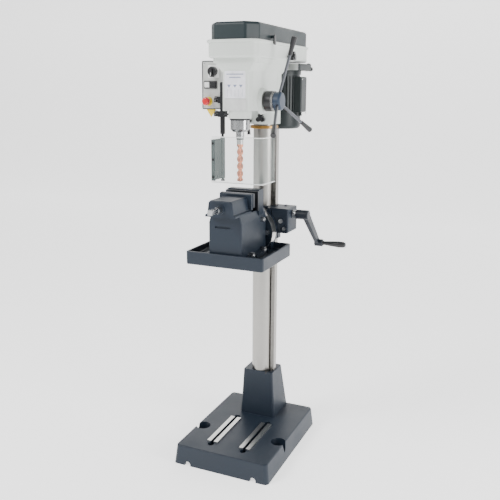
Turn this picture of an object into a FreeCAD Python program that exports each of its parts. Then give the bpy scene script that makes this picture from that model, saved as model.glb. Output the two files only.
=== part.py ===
import FreeCAD, Part
import math
import os
import re

import Sketcher

# A floor-standing drill press, in millimetres. +Z is up, -Y is the front where the operator
# stands, +X is the side of the feed handles. The origin is on the floor, under the spindle
# axis, midway between the two anchor holes of the base.

DOC = FreeCAD.newDocument("DrillPress")
SHEET = DOC.addObject("Spreadsheet::Sheet", "Sizes")

SIZES = {
    # clearances between pieces
    "run_gap": 0.3, "shaft_gap": 0.06, "seat_gap": 0.1,
    # base casting
    "base_half": 202, "base_front": -192, "base_back": 352, "base_tall": 78, "base_draft": -5.9,
    "base_corner": 16, "base_edge": 5, "base_wall": 14, "cavity_tall": 40, "rib_thick": 10,
    "cavity_long": 118, "cavity_wide": 108, "cavity_side": 52,
    "anchor_x": 168, "anchor_recess": 30, "anchor_floor": 30, "anchor_hole": 9,
    "arch_x": 140, "arch_wide": 25, "arch_tall": 17,
    # slots in the base and the machined strips beside them
    "slot_x": 70, "slot_half": 6, "slot_front": -124, "slot_back": 128, "slot_under_half": 11,
    "slot_under_low": 52, "slot_under_high": 64, "strip_wide": 17, "strip_tall": 5, "slot_end": 13,
    # column, its socket and the rack beside it
    "column_y": 230, "column_radius": 42.5, "column_wall": 6, "column_low": 92, "column_high": 1526,
    "socket_foot_half": 78, "socket_foot_front": 179, "socket_foot_back": 338,
    "socket_top_half": 66, "socket_top_front": 182, "socket_top_back": 290, "socket_top": 280,
    "socket_corner": 8, "socket_bolt_x": 62, "socket_bolt_radius": 6,
    "rack_in": 44.5, "rack_out": 59.5, "rack_back": 242.5, "rack_low": 272.5, "rack_high": 1298,
    "rack_module": 2, "lift_teeth": 15, "groove_out": 62, "groove_turn": 54,
    "ring_radius": 56, "ring_low": 1299, "ring_high": 1311,
    # head casting
    "head_front": -44, "head_nose_half": 49, "head_half": 60, "head_cheek": -18, "head_back": 267,
    "head_low": 1372, "head_high": 1530, "nose_radius": 42, "nose_low": 1345,
    "collar_radius": 64, "collar_low": 1317, "boss_radius": 44, "boss_out": 74,
    "feed_y": 62, "feed_z": 1407, "quill_bore": 35.05,
    "head_flange_half": 88, "head_flange_low": 1540, "housing_low": 1556,
    "lock_knob_x": 18, "lock_knob_z": 1341, "lock_lever_x": -34, "lock_lever_z": 1329,
    "lock_stud": 5,
    # belt housing and its cover
    "housing_half": 97, "housing_front": -85, "housing_back": 457, "housing_wall": 5,
    "housing_corner": 36, "housing_rear_corner": 14, "rim_half": 103, "rim_front": -90, "rim_back": 463, "rim_low": 1607,
    "rim_high": 1618, "housing_foot": 7,
    "cover_half": 93.5, "cover_front": -86, "cover_front_half": 58.6, "cover_shoulder": -42,
    "cover_back": 456, "cover_low": 1618.3, "cover_high": 1677, "cover_wall": 4, "cover_round": 11,
    "hinge_x": -99, "hinge_z": 1623.2, "hinge_radius": 4.6, "hinge_pin": 2, "knuckle_long": 18,
    "hinge_one": 60, "hinge_two": 320,
    "latch_y": 66, "latch_wide": 16, "latch_low": 1608, "latch_high": 1640,
    # quill, spindle and drill
    "quill_radius": 35, "quill_low": 1297, "quill_high": 1541, "quill_cone": 8,
    "quill_hollow": 26, "quill_rack_half": 7, "quill_module": 2.5, "feed_teeth": 24,
    "spindle_radius": 14, "spindle_low": 1277, "spindle_high": 1669, "spindle_nose": 15,
    "bearing_tall": 16, "drill_radius": 12, "drill_tip": 1112, "drill_point": 5,
    "drill_shank_low": 1252, "drill_socket": 1330, "drill_tang": 9, "drill_collar": 9,
    "stop_ring_low": 1339, "stop_ring_radius": 38,
    # pulleys and belt
    "motor_y": 405, "pulley_low": 1570, "pulley_step": 12, "pulley_grow": 3.5,
    "spindle_pulley": 48, "motor_pulley": 20, "pulley_groove": 5, "belt_thick": 6,
    "belt_tall": 5.4, "sleeve_radius": 20,
    # motor and the plate it hangs from
    "motor_radius": 80, "motor_low": 1357, "motor_high": 1507, "cowl_radius": 84, "cowl_low": 1291,
    "flange_radius": 84, "plate_under": 1524, "plate_top": 1550, "rod_x": 46, "rod_radius": 8,
    "rod_deep": 60, "motor_travel": 14,
    "motor_plate_half": 84, "motor_plate_front": 320, "motor_plate_back": 468, "rear_knob_x": 92,
    "fin_count": 36, "fin_tall": 5, "terminal_in": 74, "terminal_out": 104,
    "terminal_front": 368, "terminal_back": 438, "terminal_low": 1358, "terminal_high": 1500,
    # feed hub and its handles
    "feed_shaft_radius": 12, "hub_in": 78, "hub_radius": 37, "depth_ring_out": 114,
    "hub_cap_out": 142, "handle_x": 122, "handle_radius": 5.5, "handle_long": 233, "handle_splay": 15.5, "grip_long": 66,
    "grip_radius": 10.5, "grip_neck": 7.5, "spring_radius": 20.5, "spring_deep": 17,
    # switch box
    "box_left": -187, "box_right": -95, "box_front": 60, "box_back": 132, "box_low": 1374,
    "box_high": 1553, "box_wall": 3, "panel_thick": 2.5, "panel_edge": 5,
    "switch_x": -136, "switch_z": 1514, "switch_half": 23, "switch_radius": 17,
    "start_x": -163, "stop_x": -137, "button_z": 1465, "button_half": 10, "button_frame_wide": 4,
    "estop_x": -159, "estop_z": 1404, "estop_radius": 15, "estop_collar": 17, "tag_x": -150,
    # guard and the bar that carries it
    "bar_x": -92, "bar_y": 42, "bar_half": 7.5, "bar_low": 1284, "bar_high": 1475, "pin_radius": 5,
    "guard_left": -97, "guard_right": 112, "guard_front": -48, "guard_back": 70,
    "guard_low": 1110, "guard_high": 1280, "guard_sheet": 3, "guard_lip": 9, "sleeve_out": 9,
    "clamp_low": 1347, "clamp_high": 1369, "clamp_two_low": 1398, "clamp_two_high": 1422,
    # table bracket and lift
    "bracket_radius": 62, "bracket_low": 858, "bracket_high": 994, "tilt_z": 905, "disc_radius": 92,
    "disc_front": 140.3, "disc_back": 158, "neck_half": 50, "neck_low": 866, "neck_high": 952,
    "gear_in": 50, "gear_out": 138, "gear_front": 150, "gear_back": 252, "gear_low": 897,
    "lift_y": 200, "lift_z": 968, "lift_shaft": 8, "split_x": 66, "split_wide": 3,
    "crank_in": 139, "crank_collar_out": 155, "crank_out": 206, "crank_hub": 19,
    "crank_reach_y": 118, "crank_drop": 134, "crank_end_in": 196, "crank_end_out": 230,
    "crank_grip_out": 326, "crank_grip": 13,
    # tilting table and vise
    "tray_half": 156, "tray_front": -147, "tray_back": 139, "tray_low": 812, "tray_high": 862,
    "tray_floor": 838, "tray_wall": 8, "tray_corner": 11, "table_disc_front": 104,
    "table_disc_back": 140, "tilt_slot": 72, "tilt_bolt": 6, "tilt_turn": 52,
    "vise_half": 66.5, "vise_front": -131, "vise_back": 94, "vise_shoulder": 976, "vise_top": 1004,
    "vise_top_half": 58, "vise_foot_half": 96, "vise_foot_tall": 13, "jaw_gap": 15,
    "slide_front": -170, "slide_foot_half": 60, "slide_top": 1063, "slide_top_half": 41,
    "jaw_half": 67, "jaw_low": 1022, "jaw_high": 1074, "jaw_thick": 14, "anvil_back": 70,
    "anvil_high": 1081, "screw_z": 1033, "screw_radius": 9, "screw_head": 12, "screw_out": -250,
    "screw_square": 9, "nut_front": -122, "nut_back": -100, "nut_half": 14, "drill_well": 22,
}

for row, (alias, value) in enumerate(SIZES.items(), 1):
    SHEET.set(f"A{row}", alias)
    SHEET.set(f"B{row}", str(value))
    SHEET.setAlias(f"B{row}", alias)
DOC.recompute()

PIECES = {}
AXIS_TURNS = {"X": ((0, 1, 0), 90), "Y": ((1, 0, 0), -90), "Z": ((0, 0, 1), 0)}
PLANE_ROLES = {"XY": "XY_Plane", "XZ": "XZ_Plane", "YZ": "YZ_Plane"}


# ---- helpers ------------------------------------------------------------------------------


def sized(text):
    """An expression whose sheet names, the words with an underscore, point at the sheet."""
    return re.sub(r"[a-z]+(?:_[a-z]+)+", lambda found: "Sizes." + found.group(), str(text))


def number(text):
    """The value that an expression of sheet names has now."""
    return float(SHEET.evalExpression(str(text)))


def bind(item, **properties):
    """Bind properties to expressions; a double underscore stands for a dot."""
    for name, text in properties.items():
        item.setExpression(name.replace("__", "."), sized(text))
    return item


def place(item, x, y, z, axis="Z"):
    """Put an item at a point, with its own Z along the named axis."""
    direction, angle = AXIS_TURNS[axis]
    item.Placement.Rotation = FreeCAD.Rotation(FreeCAD.Vector(*direction), angle)
    return bind(item, Placement__Base__x=x, Placement__Base__y=y, Placement__Base__z=z)


def block(x, y, z):
    """A box between two planes on each axis."""
    item = DOC.addObject("Part::Box", "Block")
    bind(item, Length=f"({x[1]}) - ({x[0]})", Width=f"({y[1]}) - ({y[0]})",
         Height=f"({z[1]}) - ({z[0]})")
    return place(item, x[0], y[0], z[0])


def along(axis, across, start):
    """The point at start along an axis, with its other two coordinates in X, Y, Z order."""
    point = list(across)
    point.insert("XYZ".index(axis), start)
    return point


def rod(axis, across, span, radius):
    """A round bar along an axis."""
    item = DOC.addObject("Part::Cylinder", "Rod")
    bind(item, Radius=radius, Height=f"({span[1]}) - ({span[0]})")
    return place(item, *along(axis, across, span[0]), axis)


def cone(axis, across, span, start_radius, end_radius):
    """A round bar whose radius changes from one end to the other."""
    item = DOC.addObject("Part::Cone", "Cone")
    bind(item, Radius1=start_radius, Radius2=end_radius, Height=f"({span[1]}) - ({span[0]})")
    return place(item, *along(axis, across, span[0]), axis)


def ball(x, y, z, radius):
    item = DOC.addObject("Part::Sphere", "Ball")
    bind(item, Radius=radius)
    return place(item, x, y, z)


def hexagon(axis, across, span, radius):
    """A six-sided bar, as a bolt head; radius reaches its corners."""
    item = DOC.addObject("Part::Prism", "Hexagon")
    item.Polygon = 6
    bind(item, Circumradius=radius, Height=f"({span[1]}) - ({span[0]})")
    return place(item, *along(axis, across, span[0]), axis)


def fuse(*items):
    item = DOC.addObject("Part::MultiFuse", "Joined")
    item.Shapes = list(items)
    item.Refine = True
    return item


def group(*items):
    """Separate solids that are one sub-part."""
    item = DOC.addObject("Part::Compound", "Group")
    item.Links = list(items)
    return item


def cut(base, *tools):
    item = DOC.addObject("Part::Cut", "Trimmed")
    item.Base = base
    item.Tool = tools[0] if len(tools) == 1 else fuse(*tools)
    return item


def common(base, tool):
    item = DOC.addObject("Part::Common", "Shared")
    item.Base = base
    item.Tool = tool
    return item


def outline_sketch(body, plane, offset, points):
    """A closed outline on an origin plane of the body, each corner bound to the sheet."""
    sketch = body.newObject("Sketcher::SketchObject", "Outline")
    role = PLANE_ROLES[plane]
    support = [item for item in body.Origin.OriginFeatures if item.Role == role][0]
    sketch.AttachmentSupport = [(support, "")]
    sketch.MapMode = "FlatFace"
    bind(sketch, AttachmentOffset__Base__z=offset)
    corners = [FreeCAD.Vector(number(x), number(y), 0) for x, y in points]
    for index, corner in enumerate(corners):
        sketch.addGeometry(Part.LineSegment(corner, corners[(index + 1) % len(corners)]), False)
    for index, (x, y) in enumerate(points):
        following = (index + 1) % len(points)
        sketch.addConstraint(Sketcher.Constraint("Coincident", index, 2, following, 1))
        for kind, text, value in (("DistanceX", x, corners[index].x),
                                  ("DistanceY", y, corners[index].y)):
            fixed = sketch.addConstraint(Sketcher.Constraint(kind, index, 1, value))
            sketch.setExpression(f"Constraints[{fixed}]", sized(text))
    return sketch


def padded(plane, points, start, end, taper=None):
    """A body padded from an outline between two planes; XZ outlines run from end to start."""
    body = DOC.addObject("PartDesign::Body", "Padded")
    offset = f"-({end})" if plane == "XZ" else start
    sketch = outline_sketch(body, plane, offset, points)
    pad = body.newObject("PartDesign::Pad", "Pad")
    pad.Profile = sketch
    bind(pad, Length=f"({end}) - ({start})")
    if taper:
        bind(pad, TaperAngle=taper)
    DOC.recompute()
    return body


def turned(axis, across, profile):
    """A body of revolution along an axis; profile holds pairs of radius and station."""
    body = DOC.addObject("PartDesign::Body", "Turned")
    sketch = outline_sketch(body, "XZ", "0", profile)
    spin = body.newObject("PartDesign::Revolution", "Revolution")
    spin.Profile = sketch
    spin.ReferenceAxis = (sketch, ["V_Axis"])
    spin.Angle = 360
    place(body, *along(axis, across, "0"), axis)
    DOC.recompute()
    return body


def rounded(item, *rounds, kind="Fillet"):
    """Round the edges that each test picks, each with its own radius."""
    DOC.recompute()
    body = item
    if item.TypeId != "PartDesign::Body":
        body = DOC.addObject("PartDesign::Body", "Rounded")
        body.BaseFeature = item
        body.setExpression("Placement", f"{item.Name}.Placement")
        DOC.recompute()
    for radius, wanted in rounds:
        base = body.Tip
        standing = base.Shape.copy()
        standing.Placement = body.Placement.multiply(standing.Placement)
        names = [f"Edge{n}" for n, edge in enumerate(standing.Edges, 1) if wanted(edge)]
        feature = body.newObject("PartDesign::" + kind, kind)
        feature.Base = (base, names)
        bind(feature, **{"Radius" if kind == "Fillet" else "Size": radius})
        DOC.recompute()
    return body


def is_straight(edge, axis, slack=0.35):
    """Whether an edge is a line that runs nearly along an axis."""
    step = edge.Vertexes[-1].Point - edge.Vertexes[0].Point
    if step.Length < 0.999 * edge.Length:
        return False
    others = [value for name, value in zip("XYZ", step) if name != axis]
    return math.hypot(*others) < slack * step.Length


def in_span(edge, axis, low, high):
    """Whether an edge lies between two planes across an axis."""
    values = [vertex.Point["XYZ".index(axis)] for vertex in edge.Vertexes]
    return min(values) > number(low) - 0.01 and max(values) < number(high) + 0.01


def at(axis, place_text):
    """A test for edges that lie in one plane across an axis."""
    return lambda edge: in_span(edge, axis, place_text, place_text)


def upright(edge):
    return is_straight(edge, "Z")


def rounded_block(x, y, z, corner, axis="Z"):
    """A box with the four edges along one axis rounded."""
    return rounded(block(x, y, z), (corner, lambda edge: is_straight(edge, axis)))


def piece(label, item):
    """Give a finished sub-part its own name."""
    item.Label = label
    PIECES[label] = item
    return item


def made(label, shape, x=0, y=0, z=0):
    """A sub-part whose shape is computed from the sheet's sizes."""
    item = DOC.addObject("Part::Feature", label)
    item.Shape = shape
    item.Placement = FreeCAD.Placement(FreeCAD.Vector(x, y, z), FreeCAD.Rotation())
    return item


def mirrored_x(*texts):
    """A span of expressions mirrored to the other side of X = 0."""
    return tuple(f"-({text})" for text in reversed(texts))


def both_sides(*spans):
    """Each span, and its mirror image across X = 0."""
    return [side for span in spans for side in (span, mirrored_x(*span))]


def lobed_knob(axis, across, start, direction, size):
    """A three-lobed clamping knob with a hub, facing along an axis one way or the other."""
    first, second = [index for index, name in enumerate("XYZ") if name != axis]
    facing = 1 if direction > 0 else -1
    hub_span = sorted((0, facing * size * 1.35))
    lobe_span = sorted((facing * size * 0.45, facing * size * 1.2))
    solids = []

    def lobe(offset_one, offset_two, span, radius):
        centre = [f"{across[0]} + {offset_one:.3f}", f"{across[1]} + {offset_two:.3f}"]
        ends = [f"{start} + {value:.3f}" for value in span]
        solids.append(rod(axis, centre, ends, f"{radius:.3f}"))

    lobe(0, 0, hub_span, size * 0.5)
    for turn in (90, 210, 330):
        angle = math.radians(turn)
        reach = size * 0.52
        lobe(reach * math.cos(angle), reach * math.sin(angle), lobe_span, size * 0.48)
    return fuse(*solids)


def gear_shape(module, teeth, root_drop, width, half_tooth):
    """A spur gear along +X, centred on its axis, with straight-flanked teeth."""
    pitch_radius = module * teeth / 2
    corners = []
    for tooth in range(teeth):
        middle = 2 * math.pi * tooth / teeth
        for radius, half in ((pitch_radius - root_drop, half_tooth * 1.5),
                             (pitch_radius + module * 0.85, half_tooth * 0.55)):
            for side in (-1, 1):
                corners.append((middle + side * half / radius, radius))
    corners.sort()
    points = [FreeCAD.Vector(0, radius * math.cos(turn), radius * math.sin(turn))
              for turn, radius in corners]
    return Part.Face(Part.makePolygon(points + points[:1])).extrude(FreeCAD.Vector(width, 0, 0))


def rack_shape(module, tooth_half, tooth_zero, low, high, root, back, width, facing):
    """A toothed bar along Z; its teeth face -Y or +Y, with a gap at the height tooth_zero."""
    pitch = math.pi * module
    flank = math.tan(math.radians(20))
    tip = root + facing * module * 1.95
    tip_half = tooth_half - module * 0.85 * flank
    root_half = tooth_half + module * 1.1 * flank
    points = [(back, low), (root, low)]
    count = math.floor((low - tooth_zero) / pitch)
    while tooth_zero + (count + 0.5) * pitch + root_half < high:
        middle = tooth_zero + (count + 0.5) * pitch
        if middle - root_half > low:
            points += [(root, middle - root_half), (tip, middle - tip_half),
                       (tip, middle + tip_half), (root, middle + root_half)]
        count += 1
    points += [(root, high), (back, high)]
    corners = [FreeCAD.Vector(0, y, z) for y, z in points]
    return Part.Face(Part.makePolygon(corners + corners[:1])).extrude(FreeCAD.Vector(width, 0, 0))


def tooth_half(module):
    """Half a tooth's width on the pitch line, with backlash taken off."""
    return math.pi * module / 4 - 0.3


# ---- base, socket and column --------------------------------------------------------------


def base_casting():
    corners = [(x, y) for x, y in (("-base_half", "base_front"), ("base_half", "base_front"),
                                   ("base_half", "base_back"), ("-base_half", "base_back"))]
    outer = rounded(padded("XY", corners, "0", "base_tall", "base_draft"),
                    ("base_corner", upright), ("base_edge", at("Z", "base_tall")))
    removed = []
    middle_span = ("rib_thick / 2", "rib_thick / 2 + cavity_wide")
    side_span = ("rib_thick * 3 / 2 + cavity_wide", "rib_thick * 3 / 2 + cavity_wide + cavity_side")
    for row in range(4):
        start = f"base_front + base_wall + {row} * (cavity_long + rib_thick)"
        rows = (start, f"{start} + cavity_long")
        spans = both_sides(middle_span) if row == 1 else both_sides(middle_span, side_span)
        removed += [block(span, rows, ("-1", "cavity_tall")) for span in spans]
    for side in ("anchor_x", "-anchor_x"):
        removed.append(rod("Z", (side, "0"), ("anchor_floor", "base_tall + 1"), "anchor_recess"))
        removed.append(rod("Z", (side, "0"), ("-1", "anchor_floor + 1"), "anchor_hole"))
    for side in ("slot_x", "-slot_x"):
        neck = (f"{side} - slot_half", f"{side} + slot_half")
        under = (f"{side} - slot_under_half", f"{side} + slot_under_half")
        length = ("slot_front", "slot_back")
        removed.append(block(neck, length, ("slot_under_high - 1", "base_tall + strip_tall + 1")))
        removed.append(block(under, length, ("slot_under_low", "slot_under_high")))
        for end in length:
            removed.append(rod("Z", (side, end), ("slot_under_low", "base_tall + 1"), "slot_end"))
    for side in ("arch_x", "-arch_x"):
        wall = ("base_front - 1", "base_front + base_wall + 1")
        removed.append(block((f"{side} - arch_wide / 2", f"{side} + arch_wide / 2"), wall,
                             ("-1", "arch_tall - arch_wide / 2")))
        removed.append(rod("Y", (side, "arch_tall - arch_wide / 2"), wall, "arch_wide / 2"))
    for x in ("socket_bolt_x", "-socket_bolt_x"):
        for y in SOCKET_BOLT_ROWS:
            removed.append(rod("Z", (x, y), ("cavity_tall - 1", "base_tall + 1"),
                               "socket_bolt_radius + seat_gap"))
    piece("base_casting", cut(fuse(outer, *slot_lands()), *removed))


SOCKET_BOLT_ROWS = ("socket_foot_front + 44", "socket_foot_back - 27")


def slot_lands():
    """The machined lands that stand proud of the base beside its two slots."""
    near = ("slot_x - slot_half - strip_wide", "slot_x - slot_half")
    far = ("slot_x + slot_half", "slot_x + slot_half + strip_wide")
    length = ("slot_front + slot_end", "slot_back - slot_end")
    return [block(span, length, ("base_tall - 1", "base_tall + strip_tall"))
            for span in both_sides(near, far)]


def column_socket():
    wedge = DOC.addObject("Part::Wedge", "Tower")
    wedge.Placement.Rotation = FreeCAD.Rotation(FreeCAD.Vector(1, 0, 0), 90)
    bind(wedge, Xmin="-socket_foot_half", Xmax="socket_foot_half", Ymin="base_tall",
         Zmin="-socket_foot_back", Zmax="-socket_foot_front",
         X2min="-socket_top_half", X2max="socket_top_half", Ymax="socket_top",
         Z2min="-socket_top_back", Z2max="-socket_top_front")
    tower = rounded(wedge, ("socket_corner", upright), ("base_edge / 2", at("Z", "socket_top")))
    bore = rod("Z", ("0", "column_y"), ("column_low", "socket_top + 1"), "column_radius + seat_gap")
    groove = cut(rod("Z", ("0", "column_y"), ("rack_low - run_gap", "socket_top + 1"), "groove_out"),
                 groove_keeper())
    threads = [rod("Z", (x, y), ("base_tall - 1", "base_tall + 22"), "socket_bolt_radius")
               for x in ("socket_bolt_x", "-socket_bolt_x") for y in SOCKET_BOLT_ROWS]
    piece("column_socket", cut(tower, bore, groove, *threads))


def groove_keeper():
    """The part of the annular groove's ring that stays solid, all but a sector about +X."""
    reach = "groove_out * 2"
    corners = [("0", "column_y")]
    for turn in ("groove_turn", "90", "180", "270", "360 - groove_turn"):
        angle = f"({turn}) * 1 deg"
        corners.append((f"{reach} * cos({angle})", f"column_y + {reach} * sin({angle})"))
    return padded("XY", corners, "rack_low - 5", "socket_top + 5")


def socket_bolts():
    bolts = []
    for x in ("socket_bolt_x", "-socket_bolt_x"):
        for y in SOCKET_BOLT_ROWS:
            head = hexagon("Z", (x, y), ("cavity_tall - 8", "cavity_tall"), "socket_bolt_radius * 1.8")
            shank = rod("Z", (x, y), ("cavity_tall", "base_tall + 20"), "socket_bolt_radius")
            bolts.append(fuse(head, shank))
    piece("socket_bolts", group(*bolts))


def column():
    span = ("column_low", "column_high")
    axis = ("0", "column_y")
    tube = cut(rod("Z", axis, span, "column_radius"),
               rod("Z", axis, ("column_low - 1", "column_high + 1"), "column_radius - column_wall"))
    piece("column", tube)


def column_ring():
    axis = ("0", "column_y")
    ring = cut(rod("Z", axis, ("ring_low", "ring_high"), "ring_radius"),
               rod("Z", axis, ("ring_low - 1", "ring_high + 1"), "column_radius + seat_gap"))
    piece("column_ring", rounded(ring, ("2", lambda edge: edge.BoundBox.XLength > 100)))


def rack():
    module = number("rack_module")
    pitch_line = number("lift_y + rack_module * lift_teeth / 2")
    shape = rack_shape(module, tooth_half(module), number("lift_z"), number("rack_low"),
                       number("rack_high"), pitch_line + module * 1.1, number("rack_back"),
                       number("rack_out - rack_in"), -1)
    piece("rack", made("rack", shape, x=number("rack_in")))


# ---- head ---------------------------------------------------------------------------------


def head_casting():
    plan = [("-head_nose_half", "head_front"), ("head_nose_half", "head_front"),
            ("head_half", "head_cheek"), ("head_half", "head_back"),
            ("-head_half", "head_back"), ("-head_half", "head_cheek")]
    shell = rounded(padded("XY", plan, "head_low", "head_high"), ("12", upright))
    flange_plan = [("-head_flange_half", "head_front - 14"), ("head_flange_half", "head_front - 14"),
                   ("head_flange_half", "head_back"), ("-head_flange_half", "head_back")]
    flange = rounded(padded("XY", flange_plan, "head_flange_low", "housing_low"), ("24", upright))
    body = DOC.addObject("PartDesign::Body", "Flare")
    low = outline_sketch(body, "XY", "head_high - 22", [
        ("-head_half + 8", "head_front + 4"), ("head_half - 8", "head_front + 4"),
        ("head_half", "head_cheek + 20"), ("head_half", "head_back - 1"),
        ("-head_half", "head_back - 1"), ("-head_half", "head_cheek + 20")])
    high = outline_sketch(body, "XY", "head_flange_low + 1", [
        ("-head_flange_half + 12", "head_front - 8"), ("head_flange_half - 12", "head_front - 8"),
        ("head_flange_half - 4", "head_cheek"), ("head_flange_half - 4", "head_back - 1"),
        ("-head_flange_half + 4", "head_back - 1"), ("-head_flange_half + 4", "head_cheek")])
    flare = body.newObject("PartDesign::AdditiveLoft", "Loft")
    flare.Profile = low
    flare.Sections = [high]
    axis = ("0", "column_y")
    hub_axis = ("feed_y", "feed_z")
    nose = rod("Z", ("0", "0"), ("nose_low", "head_low + 1"), "nose_radius")
    collar = rod("Z", axis, ("collar_low", "head_high"), "collar_radius")
    boss = cone("X", hub_axis, ("head_half - 2", "boss_out"), "boss_radius + 5", "boss_radius")
    arm = block(("box_right", "-head_half + 1"), ("box_front + 22", "box_back - 12"),
                ("box_high - 78", "box_high - 38"))
    stop_ring = rod("Z", ("0", "0"), ("stop_ring_low", "nose_low + 1"), "stop_ring_radius")
    solid = fuse(shell, flange, body, nose, stop_ring, collar, boss, arm)
    removed = [
        rod("Z", ("0", "0"), ("stop_ring_low - 1", "quill_high + 1"), "quill_bore"),
        rod("Z", ("0", "0"), ("quill_high", "housing_low + 1"), "sleeve_radius + shaft_gap"),
        rod("Z", axis, ("collar_low - 1", "housing_low + 1"), "column_radius + seat_gap"),
        rod("X", hub_axis, ("-head_half - 1", "boss_out + 1"), "feed_shaft_radius + shaft_gap"),
        rod("X", hub_axis, ("-16", "16"), "quill_module * feed_teeth / 2 + 5"),
        block(("-head_half + 12", "head_half - 12"), ("94", "column_y - 60"),
              ("head_low + 12", "housing_low + 1")),
    ]
    for x in ("rod_x", "-rod_x"):
        removed.append(rod("Y", (x, "(plate_under + plate_top) / 2"),
                           ("head_back - rod_deep - motor_travel", "column_y + collar_radius + 1"),
                           "rod_radius + shaft_gap"))
    for x, z in (("lock_knob_x", "lock_knob_z"), ("lock_lever_x", "lock_lever_z")):
        removed.append(rod("Y", (x, z), ("column_y - 70", "column_y - 46"), "lock_stud + run_gap"))
    removed.append(rod("X", hub_axis, ("-head_half - 1", "-head_half + spring_deep"),
                       "spring_radius + seat_gap"))
    piece("head_casting", cut(solid, *removed))


def head_lock_knob():
    """The knob whose stud clamps the collar on the column, at the front right."""
    axis = ("lock_knob_x", "lock_knob_z")
    stud = rod("Y", axis, ("column_y - collar_radius - 5", "column_y - 50"), "lock_stud")
    knob = lobed_knob("Y", axis, "column_y - collar_radius + 0.2", -1, 19)
    piece("head_lock_knob", fuse(stud, knob))


def head_lock_lever():
    """A small handled clamp screw at the front left of the column collar."""
    x = "lock_lever_x"
    stem = rod("Y", (x, "lock_lever_z"), ("column_y - 78", "column_y - 48"), "lock_stud")
    lever = rod("Z", (x, "column_y - 73"), ("lock_lever_z - 38", "lock_lever_z"), "3.5")
    grip = cone("Z", (x, "column_y - 73"), ("lock_lever_z - 52", "lock_lever_z - 32"), "7", "5")
    piece("head_lock_lever", fuse(stem, lever, grip))


# ---- belt housing, cover and drive --------------------------------------------------------


def front_corner(edge):
    return upright(edge) and edge.BoundBox.YMax < 0


def rear_corner(edge):
    return upright(edge) and edge.BoundBox.YMin > 0


def housing_plan(half, front, back):
    return [(f"-{half}", front), (half, front), (half, back), (f"-{half}", back)]


def belt_housing():
    outer = rounded(padded("XY", housing_plan("housing_half", "housing_front", "housing_back"),
                           "housing_low", "rim_high"), ("housing_corner", front_corner),
                    ("housing_rear_corner", rear_corner), ("8", at("Z", "housing_low")))
    rim = rounded(padded("XY", housing_plan("rim_half", "rim_front", "rim_back"),
                         "rim_low", "rim_high"), ("housing_corner + 4", front_corner),
                  ("housing_rear_corner + 4", rear_corner),
                  ("4", at("Z", "rim_low")), ("3", at("Z", "rim_high")))
    inner = rounded(padded("XY", housing_plan("(housing_half - housing_wall)",
                                              "housing_front + housing_wall",
                                              "housing_back - housing_wall"),
                           "housing_low + housing_foot", "rim_high + 1"),
                    ("housing_corner - housing_wall", front_corner),
                    ("housing_rear_corner - housing_wall", rear_corner))
    spindle_way = rod("Z", ("0", "0"), ("housing_low - 1", "housing_low + 9"), "sleeve_radius + 5")
    shaft_way = [rod("Z", ("0", y), ("housing_low - 1", "housing_low + 9"), "26")
                 for y in ("motor_y", "motor_y - 14")]
    stud_way = rod("X", ("225", "1571"), ("housing_half - 12", "housing_half + 1"), "5.3")
    piece("belt_housing", cut(fuse(outer, rim), inner, spindle_way, *shaft_way, stud_way))


def belt_cover():
    def plan(inset):
        return [(f"-cover_front_half + {inset}", f"cover_front + {inset}"),
                (f"cover_front_half - {inset}", f"cover_front + {inset}"),
                (f"cover_half - {inset}", f"cover_shoulder + {inset} / 2"),
                (f"cover_half - {inset}", f"cover_back - {inset}"),
                (f"-cover_half + {inset}", f"cover_back - {inset}"),
                (f"-cover_half + {inset}", f"cover_shoulder + {inset} / 2")]
    outer = rounded(padded("XY", plan("0"), "cover_low", "cover_high"), ("14", upright),
                    ("cover_round", at("Z", "cover_high")))
    inner = rounded(padded("XY", plan("cover_wall"), "cover_low - 1", "cover_high - cover_wall"),
                    ("10", upright))
    catch = block(("cover_half - 1", "rim_half + 1.5"), latch_span(),
                  ("latch_high - 12", "latch_high - 3"))
    catch = rounded(catch, ("2", lambda edge: is_straight(edge, "Y")))
    piece("belt_cover", fuse(cut(outer, inner), *moving_knuckles(), catch))


def hinge_pins():
    """The fixed barrels on the housing's rim, each with the pin that the cover turns on."""
    solids = []
    for middle in ("hinge_one", "hinge_two"):
        ends = (f"{middle} - run_gap - knuckle_long", f"{middle} - run_gap")
        barrel = rod("Y", ("hinge_x", "hinge_z"), ends, "hinge_radius")
        leaf = block(("hinge_x - hinge_radius", "hinge_x + 1"), ends, ("rim_high", "hinge_z"))
        pin = rod("Y", ("hinge_x", "hinge_z"), (ends[0], f"{ends[1]} + knuckle_long"), "hinge_pin")
        solids.append(fuse(barrel, leaf, pin))
    piece("hinge_pins", group(*solids))


def moving_knuckles():
    """The cover's own barrels, beside the fixed ones."""
    solids = []
    for middle in ("hinge_one", "hinge_two"):
        ends = (f"{middle} + run_gap", f"{middle} + run_gap + knuckle_long")
        barrel = rod("Y", ("hinge_x", "hinge_z"), ends, "hinge_radius")
        leaf = block(("hinge_x", "-cover_half + 1"), ends, ("hinge_z", "hinge_z + 20"))
        bore = rod("Y", ("hinge_x", "hinge_z"), (f"{ends[0]} - 1", f"{ends[1]} + 1"),
                   "hinge_pin + shaft_gap")
        slope = block(("hinge_x - 6", "hinge_x + 2.2"), ends, ("hinge_z + 5", "hinge_z + 21"))
        solids.append(cut(fuse(barrel, leaf), bore, slope))
    return solids


def latch_span():
    return ("latch_y - latch_wide / 2", "latch_y + latch_wide / 2")


def cover_latch():
    pivot = rod("X", ("latch_y", "latch_low + 5"), ("rim_half", "rim_half + 2"), "5")
    arm = rounded_block(("rim_half + 2", "rim_half + 6"), latch_span(),
                        ("latch_low - 3", "latch_high"), "5", "X")
    piece("cover_latch", fuse(pivot, arm))


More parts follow.
